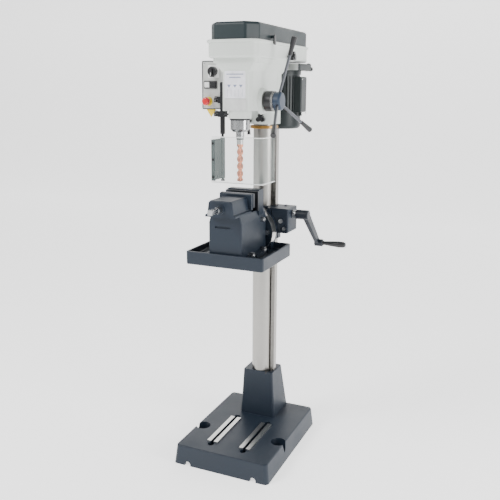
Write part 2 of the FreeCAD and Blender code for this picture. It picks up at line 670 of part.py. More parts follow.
def stepped_pulley(y, growing, smallest, bore):
    """Five belt steps; growing is +1 where the steps get larger upwards."""
    profile = [(bore, "pulley_low")]
    for step in range(5):
        size = step if growing > 0 else 4 - step
        low = f"pulley_low + {step} * pulley_step"
        radius = f"{smallest} + {size} * pulley_grow"
        profile += [(radius, low), (radius, f"{low} + 1.5"),
                    (f"{radius} - pulley_groove", f"{low} + 3"),
                    (f"{radius} - pulley_groove", f"{low} + pulley_step - 3"),
                    (radius, f"{low} + pulley_step - 1.5"), (radius, f"{low} + pulley_step - 0.1")]
    profile.append((bore, "pulley_low + 5 * pulley_step - 0.1"))
    return turned("Z", ("0", y), profile)


def pulleys_and_belt():
    sleeve = cut(rod("Z", ("0", "0"), ("pulley_low - 28", "pulley_low + 5 * pulley_step"),
                     "sleeve_radius"),
                 rod("Z", ("0", "0"), ("pulley_low - 29", "pulley_low + 5 * pulley_step + 1"),
                     "spindle_radius + shaft_gap"))
    piece("spindle_pulley", fuse(stepped_pulley("0", -1, "spindle_pulley", "sleeve_radius - 1"), sleeve))
    shaft = rod("Z", ("0", "motor_y"), ("motor_high + 17", "pulley_low + 5 * pulley_step + 4"), "12")
    piece("motor_pulley", fuse(stepped_pulley("motor_y", 1, "motor_pulley", "11"), shaft))
    drive_belt()


def drive_belt():
    """The belt round the middle steps: two round ends joined by the tangents between them."""
    low = "pulley_low + 2 * pulley_step + (pulley_step - belt_tall) / 2"
    groove = "2 * pulley_grow - pulley_groove + 0.4"
    lean = "asin((spindle_pulley - motor_pulley) / motor_y)"

    def loop(extra, below):
        front = f"(spindle_pulley + {groove} + {extra})"
        rear = f"(motor_pulley + {groove} + {extra})"
        span = (f"{low} - {below}", f"{low} + belt_tall + {below}")
        right = [(f"{front} * cos({lean})", f"{front} * sin({lean})"),
                 (f"{rear} * cos({lean})", f"motor_y + {rear} * sin({lean})")]
        left = [(f"-{x}", y) for x, y in reversed(right)]
        return fuse(rod("Z", ("0", "0"), span, front), rod("Z", ("0", "motor_y"), span, rear),
                    padded("XY", right + left, *span))
    piece("drive_belt", cut(loop("belt_thick", "0"), loop("0", "1")))


def motor():
    axis = ("0", "motor_y")
    barrel = rod("Z", axis, ("motor_low", "plate_under"), "motor_radius")
    flange = rod("Z", axis, ("plate_under - 16", "plate_under"), "flange_radius")
    fins = []
    for index in range(number_of("fin_count")):
        turn = 360 * index / number_of("fin_count")
        fin = block(("motor_radius - 2", "motor_radius + fin_tall"), ("-1.6", "1.6"),
                    ("motor_low + 4", "motor_high - 6"))
        fin.Placement.Rotation = FreeCAD.Rotation(FreeCAD.Vector(0, 0, 1), turn)
        cosine, sine = math.cos(math.radians(turn)), math.sin(math.radians(turn))
        bind(fin, Placement__Base__x=f"(motor_radius - 2) * {cosine:.5f} + 1.6 * {sine:.5f}",
             Placement__Base__y=f"motor_y + (motor_radius - 2) * {sine:.5f} - 1.6 * {cosine:.5f}")
        fins.append(fin)
    inside = rod("Z", axis, ("motor_low - 1", "plate_under - 16"), "motor_radius - 8")
    shaft_hole = rod("Z", axis, ("plate_under - 17", "plate_under + 1"), "12 + run_gap")
    box_seat = block(("terminal_in", "terminal_out + 1"), ("terminal_front", "terminal_back"),
                     ("terminal_low", "terminal_high"))
    piece("motor_body", cut(fuse(barrel, flange, *fins), inside, shaft_hole, box_seat))
    cowl = rounded(rod("Z", axis, ("cowl_low", "motor_low"), "cowl_radius"),
                   ("14", at("Z", "cowl_low")))
    hollow = rounded(rod("Z", axis, ("cowl_low + 3", "motor_low + 1"), "cowl_radius - 3"),
                     ("11", at("Z", "cowl_low + 3")))
    slots = [block((f"{offset} - 2", f"{offset} + 2"), ("motor_y - 44", "motor_y + 44"),
                   ("cowl_low - 1", "cowl_low + 4")) for offset in range(-48, 49, 8)]
    piece("motor_fan_cowl", cut(cowl, hollow, *slots))
    box = rounded(block(("terminal_in", "terminal_out"), ("terminal_front", "terminal_back"),
                        ("terminal_low", "terminal_high")),
                  ("8", lambda edge: in_span(edge, "X", "terminal_out - 1", "terminal_out + 1")))
    gland = rod("Z", ("95", "386"), ("terminal_low - 14", "terminal_low"), "7")
    piece("motor_terminal_box", cut(fuse(box, gland),
                                    block(("terminal_in - 1", "terminal_out - 4"),
                                          ("terminal_front + 4", "terminal_back - 4"),
                                          ("terminal_low + 4", "terminal_high - 4"))))
    fan_axle = rod("Z", axis, ("motor_low - 22", "plate_under - 20"), "9")
    blades = [block(("-1.5", "1.5"), ("-66", "66"), ("motor_low - 40", "motor_low - 18"))
              for blade in range(4)]
    for index, blade in enumerate(blades):
        turn = 45 * index
        blade.Placement.Rotation = FreeCAD.Rotation(FreeCAD.Vector(0, 0, 1), turn)
        cosine, sine = math.cos(math.radians(turn)), math.sin(math.radians(turn))
        bind(blade, Placement__Base__x=f"-1.5 * {cosine:.5f} + 66 * {sine:.5f}",
             Placement__Base__y=f"motor_y - 1.5 * {sine:.5f} - 66 * {cosine:.5f}")
    rotor = rod("Z", axis, ("motor_low + 20", "motor_high - 30"), "60")
    piece("motor_rotor_and_fan", fuse(fan_axle, rotor, *blades))


def number_of(alias):
    return int(number(alias))


def motor_mounting():
    middle = "(plate_under + plate_top) / 2"
    plate = block(("-motor_plate_half", "motor_plate_half + 28"),
                  ("motor_plate_front", "motor_plate_back"), ("plate_under", "plate_top"))
    plate = rounded(plate, ("10", upright))
    rods = [rod("Y", (x, middle), ("head_back - rod_deep", "motor_plate_front + 20"), "rod_radius")
            for x in ("rod_x", "-rod_x")]
    shaft_hole = rod("Z", ("0", "motor_y"), ("plate_under - 1", "plate_top + 1"), "12 + run_gap")
    screw_hole = rod("Y", ("rear_knob_x", middle), ("motor_plate_back - 20", "motor_plate_back + 1"),
                     "5 + run_gap")
    piece("motor_plate", cut(fuse(plate, *rods), shaft_hole, screw_hole))
    screw = rod("Y", ("rear_knob_x", middle), ("motor_plate_back - 18", "motor_plate_back + 4"), "5")
    knob = lobed_knob("Y", ("rear_knob_x", middle), "motor_plate_back + 4", 1, 19)
    piece("tension_screw_knob", fuse(screw, knob))
    stud = rod("X", ("225", "1571"), ("housing_half - 10", "rim_half + 1"), "5")
    side = lobed_knob("X", ("225", "1571"), "rim_half + 0.5", 1, 19)
    piece("tension_lock_knob", fuse(stud, side))


# ---- quill, spindle, drill and feed -------------------------------------------------------


def quill():
    lip = "quill_hollow - 9"
    profile = [("quill_hollow", "quill_low + 6"), (lip, "quill_low + 6"), (lip, "quill_low"),
               ("quill_radius - quill_cone", "quill_low"),
               ("quill_radius - 1", "quill_low + quill_cone"),
               ("quill_radius", "quill_low + quill_cone + 1"), ("quill_radius", "quill_high"),
               ("quill_hollow", "quill_high")]
    tube = turned("Z", ("0", "0"), profile)
    module = number("quill_module")
    pitch_line = number("feed_y - quill_module * feed_teeth / 2")
    root = pitch_line - module * 1.1
    seat = block(("-quill_rack_half", "quill_rack_half"), (f"{root:.3f}", "quill_radius + 1"),
                 ("feed_z - 24", "quill_high + 1"))
    teeth = rack_shape(module, tooth_half(module), number("feed_z"), number("feed_z - 24"),
                       number("quill_high"), root, root - 2, number("quill_rack_half * 2"), 1)
    toothed = made("QuillTeeth", teeth, x=-number("quill_rack_half"))
    piece("quill", fuse(cut(tube, seat), toothed))
    rings = []
    for low in ("quill_low + 10", "quill_high - 30"):
        span = (low, f"{low} + bearing_tall")
        hole = (f"{low} - 1", f"{low} + bearing_tall + 1")
        rings.append(cut(rod("Z", ("0", "0"), span, "quill_hollow"),
                         rod("Z", ("0", "0"), hole, "spindle_radius + shaft_gap")))
    piece("quill_bearings", group(*rings))


def spindle():
    nose = rod("Z", ("0", "0"), ("spindle_low", "quill_low - 0.5"), "spindle_nose")
    shaft = rod("Z", ("0", "0"), ("quill_low - 0.5", "spindle_high"), "spindle_radius")
    socket = rod("Z", ("0", "0"), ("spindle_low - 1", "drill_socket"), "drill_tang + seat_gap")
    collar = rod("Z", ("0", "0"), ("spindle_low - drill_collar", "spindle_low"), "spindle_nose - 1")
    collar_bore = rod("Z", ("0", "0"), ("spindle_low - drill_collar - 1", "spindle_low"),
                      "drill_radius + 0.05")
    piece("spindle", cut(fuse(nose, shaft, collar), socket, collar_bore))


def drill_bit():
    """A twist drill with a round shank: two flutes wound up its length."""
    radius = number("drill_radius")
    low, high = number("drill_tip"), number("drill_shank_low")
    turns = 2.6
    pitch = (high - low) / turns
    flute_radius = radius * 0.62
    layers = 44
    sections = []
    for layer in range(layers + 1):
        height = low + (high - low + 4) * layer / layers
        twist = 2 * math.pi * (height - low) / pitch
        fade = min(1, max(0, (high - height) / 14))
        corners = []
        for step in range(36):
            angle = 2 * math.pi * step / 36
            waist = 0.5 + 0.5 * math.cos(2 * angle)
            reach = radius - fade * flute_radius * (1 - waist) ** 1.6
            corners.append(FreeCAD.Vector(reach * math.cos(angle + twist),
                                          reach * math.sin(angle + twist), height))
        sections.append(Part.makePolygon(corners + corners[:1]))
    flutes = Part.makeLoft(sections, True, True)
    tip = Part.makeCone(0.6, radius + 1, number("drill_point"), FreeCAD.Vector(0, 0, low))
    sleeve = Part.makeCylinder(radius + 2, high - low + 10,
                               FreeCAD.Vector(0, 0, low + number("drill_point")))
    flutes = flutes.common(tip.fuse(sleeve))
    neck = Part.makeCylinder(radius, number("spindle_low") - high - 0.5,
                             FreeCAD.Vector(0, 0, high))
    shank = Part.makeCylinder(number("drill_tang"), number("drill_socket - spindle_low") - 4,
                              FreeCAD.Vector(0, 0, number("spindle_low") - 0.5))
    shape = flutes.fuse([neck, shank]).removeSplitter()
    piece("drill_bit", made("drill_bit", shape))


def feed_drive():
    hub_axis = ("feed_y", "feed_z")
    module = number("quill_module")
    half_wide = number("quill_rack_half") - 0.5
    gear = gear_shape(module, number_of("feed_teeth"), module * 1.2, half_wide * 2,
                      tooth_half(module))
    pinion = made("Pinion", gear, -half_wide, number("feed_y"), number("feed_z"))
    shaft = rod("X", hub_axis, ("-head_half + 3", "hub_in"), "feed_shaft_radius")
    piece("feed_pinion", fuse(pinion, shaft))
    hub = rounded(rod("X", hub_axis, ("depth_ring_out", "hub_cap_out"), "hub_radius - 4"),
                  ("8", at("X", "hub_cap_out")))
    core = rod("X", hub_axis, ("hub_in", "depth_ring_out"), "hub_radius - 12")
    sockets = []
    handles = []
    grips = []
    leaning = FreeCAD.Rotation(FreeCAD.Vector(0, 1, 0), number("handle_splay"))
    for turn in (0, 120, 240):
        angle = math.radians(turn)
        forward, up = math.sin(angle), math.cos(angle)
        for solids, low, high, start, end in (
                (sockets, "14", "hub_radius + 6", "handle_radius", "handle_radius"),
                (handles, "14", "handle_long - 8", "handle_radius", "handle_radius"),
                (grips, "handle_long - grip_long", "handle_long", "grip_neck", "grip_radius")):
            arm = cone("Z", ("0", "0"), ("0", f"({high}) - ({low})"), start, f"{end} + 0.001")
            arm.Placement.Rotation = FreeCAD.Rotation(FreeCAD.Vector(1, 0, 0), -turn) * leaning
            bind(arm, Placement__Base__x=f"handle_x + ({low}) * sin(handle_splay * 1 deg)",
                 Placement__Base__y=f"feed_y + ({low}) * cos(handle_splay * 1 deg) * {forward:.5f}",
                 Placement__Base__z=f"feed_z + ({low}) * cos(handle_splay * 1 deg) * {up:.5f}")
            solids.append(arm)
    piece("feed_hub", cut(fuse(hub, core), *sockets))
    piece("handle_rods", group(*handles))
    piece("handle_grips", group(*[cut(rounded(grip, ("3", lambda edge: edge.Length > 50)), rod_end)
                                  for grip, rod_end in zip(grips, handles)]))
    ring = cut(rod("X", hub_axis, ("hub_in", "depth_ring_out - run_gap"), "hub_radius"),
               rod("X", hub_axis, ("hub_in - 1", "depth_ring_out + 1"), "hub_radius - 12 + seat_gap"))
    piece("depth_collar", rounded(ring, ("2", lambda edge: edge.BoundBox.YLength > 70)))


def return_spring():
    """The cup let into the head's left side, with the flat coil that lifts the quill again."""
    hub_axis = ("feed_y", "feed_z")
    depth = ("-head_half - 2", "-head_half + spring_deep")
    cup = cut(rod("X", hub_axis, depth, "spring_radius"),
              rod("X", hub_axis, ("-head_half", "-head_half + spring_deep + 1"), "spring_radius - 2"))
    coil = cut(rod("X", hub_axis, ("-head_half + 4", "-head_half + spring_deep - 2"),
                   "spring_radius - 2.5"),
               rod("X", hub_axis, ("-head_half + 3", "-head_half + spring_deep"),
                   "feed_shaft_radius + 1"))
    piece("return_spring", group(cup, coil))


# ---- switch box ---------------------------------------------------------------------------


def switch_box():
    x, y, z = ("box_left", "box_right"), ("box_front", "box_back"), ("box_low", "box_high")
    shell = rounded_block(x, y, z, "5", "Y")
    hollow = block(("box_left + box_wall", "box_right - box_wall"),
                   ("box_front - 1", "box_back - box_wall"),
                   ("box_low + box_wall", "box_high - box_wall"))
    gland = rod("Z", ("box_right - 22", "box_back - 30"), ("box_low - 16", "box_low"), "9")
    piece("switch_box_shell", cut(fuse(shell, gland), hollow))
    face = ("box_front - 0.5", "box_front + panel_thick")
    panel = rounded_block(("box_left + panel_edge", "box_right - panel_edge"), face,
                          ("box_low + panel_edge", "box_high - panel_edge"), "2", "Y")
    shell_lip = block(("box_left + box_wall", "box_right - box_wall"),
                      ("box_front + panel_thick - 1", "box_front + panel_thick"),
                      ("box_low + box_wall", "box_high - box_wall"))
    holes = [rod("Y", ("switch_x", "switch_z"), ("box_front - 2", "box_front + 4"), "5"),
             rod("Y", ("estop_x", "estop_z"), ("box_front - 2", "box_front + 4"), "8")]
    for x_middle in ("start_x", "stop_x"):
        holes.append(block((f"{x_middle} - 6", f"{x_middle} + 6"),
                           ("box_front - 2", "box_front + 4"), ("button_z - 6", "button_z + 6")))
    piece("switch_panel", cut(fuse(panel, shell_lip), *holes))

    front = "box_front - 0.5"
    plate = rounded_block(("switch_x - switch_half", "switch_x + switch_half"),
                          (f"{front} - 3", front),
                          ("switch_z - switch_half", "switch_z + switch_half"), "3", "Y")
    plate = cut(plate, rod("Y", ("switch_x", "switch_z"), (f"{front} - 4", f"{front} + 1"), "5"))
    knob = rod("Y", ("switch_x", "switch_z"), (f"{front} - 22", f"{front} - 3.3"), "switch_radius")
    bar = block(("switch_x - 5", "switch_x + 5"), (f"{front} - 28", f"{front} - 6"),
                ("switch_z - switch_radius - 4", "switch_z + 8"))
    stem = rod("Y", ("switch_x", "switch_z"), (f"{front} - 4", f"{front} + 12"), "4.7")
    turned_bar = rounded(bar, ("2", upright))
    piece("switch_knob", fuse(rounded(knob, ("2", at("Y", f"{front} - 22"))), turned_bar, stem))

    frame_half = "(stop_x - start_x) / 2 + button_half + button_frame_wide"
    middle = "(start_x + stop_x) / 2"
    frame = rounded_block((f"{middle} - ({frame_half})", f"{middle} + ({frame_half})"),
                          (f"{front} - 5", front),
                          ("button_z - button_half - button_frame_wide",
                           "button_z + button_half + button_frame_wide"), "3", "Y")
    wells = [block((f"{side} - button_half - run_gap", f"{side} + button_half + run_gap"),
                   (f"{front} - 6", f"{front} + 1"),
                   ("button_z - button_half - run_gap", "button_z + button_half + run_gap"))
             for side in ("start_x", "stop_x")]
    frame = cut(frame, *wells)
    for label, side in (("start_button", "start_x"), ("stop_button", "stop_x")):
        cap = rounded_block((f"{side} - button_half", f"{side} + button_half"),
                            (f"{front} - 8", f"{front} - 3.5"),
                            ("button_z - button_half", "button_z + button_half"), "2", "Y")
        plunger = block((f"{side} - 5", f"{side} + 5"), (f"{front} - 4", f"{front} + 10"),
                        ("button_z - 5", "button_z + 5"))
        piece(label, fuse(cap, plunger))

    axis = ("estop_x", "estop_z")
    collar = cone("Y", axis, (f"{front} - 9", front), "estop_collar - 3", "estop_collar")
    collar = cut(collar, rod("Y", axis, (f"{front} - 10", f"{front} + 1"), "8"))
    cap = rounded(rod("Y", axis, (f"{front} - 32", f"{front} - 18"), "estop_radius"),
                  ("6", at("Y", f"{front} - 32")))
    stem = rod("Y", axis, (f"{front} - 19", f"{front} + 14"), "7.6")
    piece("estop_button", fuse(cap, stem))
    tag = padded("XZ", [("tag_x - 20", "box_low"), ("tag_x", "box_low - 30"),
                        ("tag_x + 20", "box_low")], "box_front + 2", "box_front + 3.5")
    piece("control_trim", group(plate, frame, collar, tag))


# ---- guard --------------------------------------------------------------------------------


def guard_carrier():
    """The square bar, the clamps that hold it on the head and their knobs."""
    x = ("bar_x - bar_half", "bar_x + bar_half")
    y = ("bar_y - bar_half", "bar_y + bar_half")
    bar = rounded(block(x, y, ("bar_low", "bar_high")), ("2", upright),
                  ("3", at("Z", "bar_high")))
    pin = rod("Z", ("bar_x", "bar_y"), ("guard_low + 2", "bar_low + 1"), "pin_radius")
    foot = rod("Z", ("bar_x", "bar_y"), ("guard_low - 4", "guard_low + 2"), "sleeve_out - 1")
    piece("guard_bar", fuse(bar, pin, foot))
    wall = 8
    blocks = []
    for low, high in (("clamp_low", "clamp_high"), ("clamp_two_low", "clamp_two_high")):
        outer = rounded_block((f"{x[0]} - {wall}", f"{x[1]} + {wall}"),
                              (f"{y[0]} - {wall}", f"{y[1]} + {wall}"), (low, high), "5")
        way = block((f"{x[0]} - run_gap", f"{x[1]} + run_gap"),
                    (f"{y[0]} - run_gap", f"{y[1]} + run_gap"), (f"{low} - 1", f"{high} + 1"))
        tapped = rod("X", ("bar_y", f"({low} + {high}) / 2"),
                     (f"{x[0]} - {wall} - 1", f"{x[0]} - run_gap"), "4.1")
        blocks.append(cut(outer, way, tapped))
    strap = block((f"{x[1]} + run_gap", f"{x[1]} + {wall}"), (f"{y[1]} + run_gap", f"{y[1]} + {wall}"),
                  ("clamp_high - 1", "clamp_two_low + 1"))
    arm = rod("X", ("22", "(clamp_low + clamp_high) / 2"), (f"{x[1]} + {wall} - 2", "-34"), "4")
    elbow = block((f"{x[1]} + 2", f"{x[1]} + {wall}"), ("17", f"{y[0]} - {wall} + 2"),
                  ("(clamp_low + clamp_high) / 2 - 5", "(clamp_low + clamp_high) / 2 + 5"))
    stay = block((f"{x[1]} + {wall} - 1", "-head_half"), ("bar_y - 8", "bar_y - 1"),
                 ("clamp_two_low + 6", "clamp_two_high - 6"))
    nose = rod("Z", ("0", "0"), ("clamp_low", "clamp_high"), "nose_radius")
    solid = fuse(*blocks, strap, elbow, cut(arm, nose), stay)
    piece("guard_clamp", solid)
    for label, low, high in (("lower_clamp_knob", "clamp_low", "clamp_high"),
                             ("upper_clamp_knob", "clamp_two_low", "clamp_two_high")):
        axis = ("bar_y", f"({low} + {high}) / 2")
        stud = rod("X", axis, (f"{x[0]} - {wall} - 4", f"{x[0]} - run_gap - 0.1"), "4")
        piece(label, fuse(stud, lobed_knob("X", axis, f"{x[0]} - {wall} - 0.5", -1, 13)))


def guard():
    span = ("guard_low", "guard_high")
    x_out, y_out = ("guard_left", "guard_right"), ("guard_front", "guard_back")
    shell = rounded(block(x_out, y_out, span), ("10", lambda edge: upright(edge) and in_span(
        edge, "Y", "guard_front", "guard_front")))
    inner = rounded(block(("guard_left - 1", "guard_right - guard_sheet"),
                          ("guard_front + guard_sheet", "guard_back + 1"),
                          ("guard_low - 1", "guard_high + 1")),
                    ("8", lambda edge: upright(edge) and in_span(
                        edge, "Y", "guard_front", "guard_front + 5") and in_span(
                            edge, "X", "0", "guard_right")))
    walls = cut(shell, inner)
    lips = []
    for low, high in (("guard_low", "guard_low + guard_sheet"),
                      ("guard_high - guard_sheet", "guard_high")):
        plate = block(("guard_left + guard_sheet", "guard_right - 1"),
                      ("guard_front + 1", "guard_back"), (low, high))
        hole = block(("guard_left - 1", "guard_right - guard_lip"),
                     ("guard_front + guard_lip", "guard_back + 1"), (f"{low} - 1", f"{high} + 1"))
        lips.append(cut(plate, hole))
    side_room = block(("guard_left - 2", "guard_left + guard_sheet"),
                      ("guard_front + guard_sheet", "guard_back + 1"),
                      ("guard_low - 1", "guard_high + 1"))
    piece("guard_shield", cut(fuse(walls, *lips), side_room))
    plate = block(("guard_left", "guard_left + guard_sheet"),
                  ("guard_front + guard_sheet", "guard_back - 4"),
                  ("guard_low + 6", "guard_high - 12"))
    tube = rod("Z", ("bar_x", "bar_y"), ("guard_low + 6", "guard_high - 8"), "sleeve_out")
    flange = block(("guard_left", "guard_left + 16"), ("guard_front + guard_sheet",
                                                       "guard_front + guard_sheet + 3"),
                   ("guard_low + 6", "guard_high - 12"))
    bore = rod("Z", ("bar_x", "bar_y"), ("guard_low", "guard_high"), "pin_radius + run_gap")
    piece("guard_side_plate", cut(fuse(plate, tube, flange), bore))
    heights = ("guard_low + 20", "(guard_low + guard_high) / 2", "guard_high - 26")
    screws = [rounded(rod("Y", ("guard_left + 9", z), ("guard_front - 3", "guard_front"), "4.5"),
                      ("1.2", at("Y", "guard_front - 3"))) for z in heights]
    piece("guard_screws", group(*screws))


# ---- table bracket, lift and crank --------------------------------------------------------


def table_bracket():
    axis = ("0", "column_y")
    tilt_axis = ("0", "tilt_z")
    hub = rod("Z", axis, ("bracket_low", "bracket_high"), "bracket_radius")
    gear_case = rounded(block(("gear_in", "gear_out"), ("gear_front", "gear_back"),
                              ("gear_low", "bracket_high")),
                        ("6", lambda edge: in_span(edge, "X", "gear_out", "gear_out")))
    disc = rod("Y", tilt_axis, ("disc_front", "disc_back"), "disc_radius")
    neck = rounded(block(("-neck_half", "neck_half + 20"), ("disc_back - 2", "column_y - 30"),
                         ("neck_low", "neck_high + 30")), ("6", lambda edge: is_straight(edge, "Y")))
    low_web = block(("-9", "9"), ("disc_back - 2", "column_y - 40"), ("neck_low - 40", "neck_low + 2"))
    rack_boss = block(("40", "rack_out + 9"), ("lift_y + 4", "rack_back + 8"),
                      ("bracket_low", "bracket_high"))
    solid = fuse(hub, gear_case, disc, neck, low_web, rack_boss)
    removed = [
        rod("Z", axis, ("bracket_low - 60", "bracket_high + 1"), "column_radius + run_gap"),
        block(("rack_in - 4", "rack_out + run_gap"), ("lift_y + 12", "rack_back + 1"),
              ("bracket_low - 1", "bracket_high + 1")),
        rod("X", ("lift_y", "lift_z"), ("rack_in - 1", "rack_out + 1"), "20"),
        rod("X", ("lift_y", "lift_z"), ("rack_out", "gear_out + 1"), "lift_shaft + run_gap"),
        block(("split_x", "split_x + split_wide"), ("gear_front - 40", "rack_back - 20"),
              ("bracket_low - 1", "bracket_high + 1")),
        block(("rack_out - 1", "split_x + split_wide"), ("rack_back - 24", "rack_back - 20"),
              ("bracket_low - 1", "bracket_high + 1")),
        rod("Y", tilt_axis, ("disc_front - 1", "disc_back + 8"), "10 + run_gap"),
    ]
    removed += [tilt_slot(side) for side in (0, 180)]
    bolts, holes = bracket_bolts()
    piece("table_bracket", cut(solid, *removed, *holes))
    piece("bracket_bolts", group(*bolts))


def tilt_slot(side):
    """A curved slot through the bracket disc, centred on its left or right side."""
    ring = cut(rod("Y", ("0", "tilt_z"), ("disc_front - 1", "disc_back - 3"),
                   "tilt_slot + tilt_bolt + 1"),
               rod("Y", ("0", "tilt_z"), ("disc_front - 2", "disc_back - 2"),
                   "tilt_slot - tilt_bolt - 1"))
    reach = 200
    corners = [("0", "tilt_z")]
    for turn in ("tilt_turn", "0", "-tilt_turn"):
        angle = f"({side} + {turn}) * 1 deg"
        corners.append((f"{reach} * cos({angle})", f"tilt_z + {reach} * sin({angle})"))
    return common(ring, padded("XZ", corners, "disc_front - 2", "disc_back"))


def bracket_bolts():
    """Bolts of the bracket and the holes they fill: case screw, clamp bolt, top plug."""
    bolts, holes = [], []
    for axis, across, face, facing, radius, deep in (
            ("Y", ("108", "945"), "gear_front", -1, 5, 30),
            ("Y", ("122", "915"), "gear_front", -1, 4, 20),
            ("Z", ("100", "228"), "bracket_high", 1, 4, 14)):
        inner = sorted((0, -facing * deep))
        outer = sorted((0, facing * radius * 1.1))
        shank = rod(axis, across, [f"{face} + {value}" for value in inner], str(radius))
        head = rod(axis, across, [f"{face} + {value:.2f}" for value in outer], f"{radius * 1.75}")
        socket = hexagon(axis, across, [f"{face} + {facing * radius * 0.4:.2f}",
                                        f"{face} + {facing * radius * 1.1 + facing * 0.1:.2f}"]
                         if facing > 0 else
                         [f"{face} - {radius * 1.1 + 0.1:.2f}", f"{face} - {radius * 0.4:.2f}"],
                         f"{radius * 0.95}")
        bolts.append(fuse(shank, cut(head, socket)))
        holes.append(rod(axis, across, [f"{face} + {value}" for value in inner], str(radius)))
    return bolts, holes


def lift_pinion():
    module = number("rack_module")
    width = number("rack_out - rack_in") - 1
    gear = gear_shape(module, number_of("lift_teeth"), module * 1.2, width, tooth_half(module))
    pinion = made("Pinion", gear, number("rack_in") + 0.5, number("lift_y"), number("lift_z"))
    shaft = rod("X", ("lift_y", "lift_z"), ("rack_in + 1", "crank_out - 24"), "lift_shaft")
    collar = rounded(rod("X", ("lift_y", "lift_z"), ("crank_in", "crank_collar_out"),
                         "crank_hub - 3"), ("2", at("X", "crank_in")))
    piece("lift_pinion", fuse(pinion, shaft, collar))


def crank():
    hub = rounded(rod("X", ("lift_y", "lift_z"), ("crank_collar_out", "crank_out"), "crank_hub"),
                  ("3", at("X", "crank_out")), ("2", at("X", "crank_collar_out")))
    end_y, end_z = "lift_y + crank_reach_y", "lift_z - crank_drop"
    boss = rounded(rod("X", (end_y, end_z), ("crank_end_in", "crank_end_out"), "15"),
                   ("3", at("X", "crank_end_out")), ("3", at("X", "crank_end_in")))
    start = FreeCAD.Vector(number("crank_out") - 12, number("lift_y"), number("lift_z"))
    end = FreeCAD.Vector(number("crank_end_in") + 12, number(end_y), number(end_z))
    run = end - start
    sections = []
    for distance, half_wide, half_thick in ((4, 16, 9), (run.Length - 4, 11, 7)):
        corners = [FreeCAD.Vector(half_thick * x, half_wide * y, 0)
                   for x, y in ((1, 1), (-1, 1), (-1, -1), (1, -1))]
        ring = Part.makePolygon(corners + corners[:1])
        turn = FreeCAD.Rotation(FreeCAD.Vector(1, 0, 0), FreeCAD.Vector(0, 0, 0), run, "ZXY")
        ring.Placement = FreeCAD.Placement(point_along(start, end, distance), turn)
        sections.append(ring)
    web = made("Web", Part.makeLoft(sections, True, True))
    bore = rod("X", ("lift_y", "lift_z"), ("crank_collar_out - 1", "crank_out - 24"),
               "lift_shaft")
    pin = rod("X", (end_y, end_z), ("crank_end_in + 6", "crank_grip_out - 8"), "5")
    piece("crank_arm", fuse(cut(hub, bore), boss, web, pin))
    low = "crank_end_out + run_gap"
    long = "crank_grip_out - crank_end_out"
    profile = [("5.3", low), ("crank_grip - 4", low), ("crank_grip - 5", f"{low} + 8"),
               ("crank_grip - 2.5", f"{low} + ({long}) * 0.35"),
               ("crank_grip", f"{low} + ({long}) * 0.7"),
               ("crank_grip - 1", "crank_grip_out - 8"), ("crank_grip - 5", "crank_grip_out"),
               ("3", "crank_grip_out"), ("3", "crank_grip_out - 7.5"),
               ("5.3", "crank_grip_out - 7.5")]
    piece("crank_grip", turned("X", (end_y, end_z), profile))


def point_along(start, end, distance):
    return start + (end - start).multiply(distance / start.distanceToPoint(end))


# ---- table and vise -----------------------------------------------------------------------


def table_tray():
    plan = [("-tray_half", "tray_front"), ("tray_half", "tray_front"),
            ("tray_half", "tray_back"), ("-tray_half", "tray_back")]
    outer = rounded(padded("XY", plan, "tray_low", "tray_high"), ("tray_corner", upright),
                    ("4", at("Z", "tray_low")), ("2.5", at("Z", "tray_high")))
    room = rounded(block(("-tray_half + tray_wall", "tray_half - tray_wall"),
                         ("tray_front + tray_wall", "tray_back - tray_wall"),
                         ("tray_floor", "tray_high + 1")),
                   ("tray_corner - tray_wall + 2", upright), ("4", at("Z", "tray_floor")))
    under = [block(span, rows, ("tray_low - 1", "tray_floor - 14"))
             for span in both_sides(("6", "tray_half - 12"))
             for rows in (("tray_front + 12", "-26"), ("30", "tray_back - 44"))]
    disc = rod("Y", ("0", "tilt_z"), ("table_disc_front", "table_disc_back"), "disc_radius")
    upright_wall = block(("-disc_radius + 6", "disc_radius - 6"),
                         ("table_disc_front", "tray_back - tray_wall + 1"),
                         ("tray_floor - 1", "tilt_z - 30"))
    pan = fuse(cut(outer, room, *under), disc, upright_wall)
    removed = [rod("Y", ("0", "tilt_z"), ("table_disc_front - 1", "table_disc_back + 1"), "10")]
    for side in ("tilt_slot", "-tilt_slot"):
        removed.append(rod("Y", (side, "tilt_z"), ("table_disc_front - 1", "table_disc_back + 1"),
                           "tilt_bolt"))
    removed += [rod("Z", ("0", "0"), ("tray_low - 1", "tray_floor + 1"), "drill_well")]
    for x, y in vise_bolt_places():
        removed.append(rod("Z", (x, y), ("tray_low - 1", "tray_floor + 1"), "6"))
    piece("table_tray", cut(pan, *removed))
    bolts = []
    for x in ("tilt_slot", "-tilt_slot"):
        head = hexagon("Y", (x, "tilt_z"), ("table_disc_front - 9", "table_disc_front"),
                       "tilt_bolt * 1.75")
        shank = rod("Y", (x, "tilt_z"), ("table_disc_front", "disc_back - 4"), "tilt_bolt")
        bolts.append(fuse(head, shank))
    bolts.append(rod("Y", ("0", "tilt_z"), ("table_disc_front", "disc_back + 6"), "10"))
    piece("tilt_bolts", group(*bolts))


def vise_bolt_places():
    return [(x, y) for x in ("82", "-82") for y in ("-66", "44")]


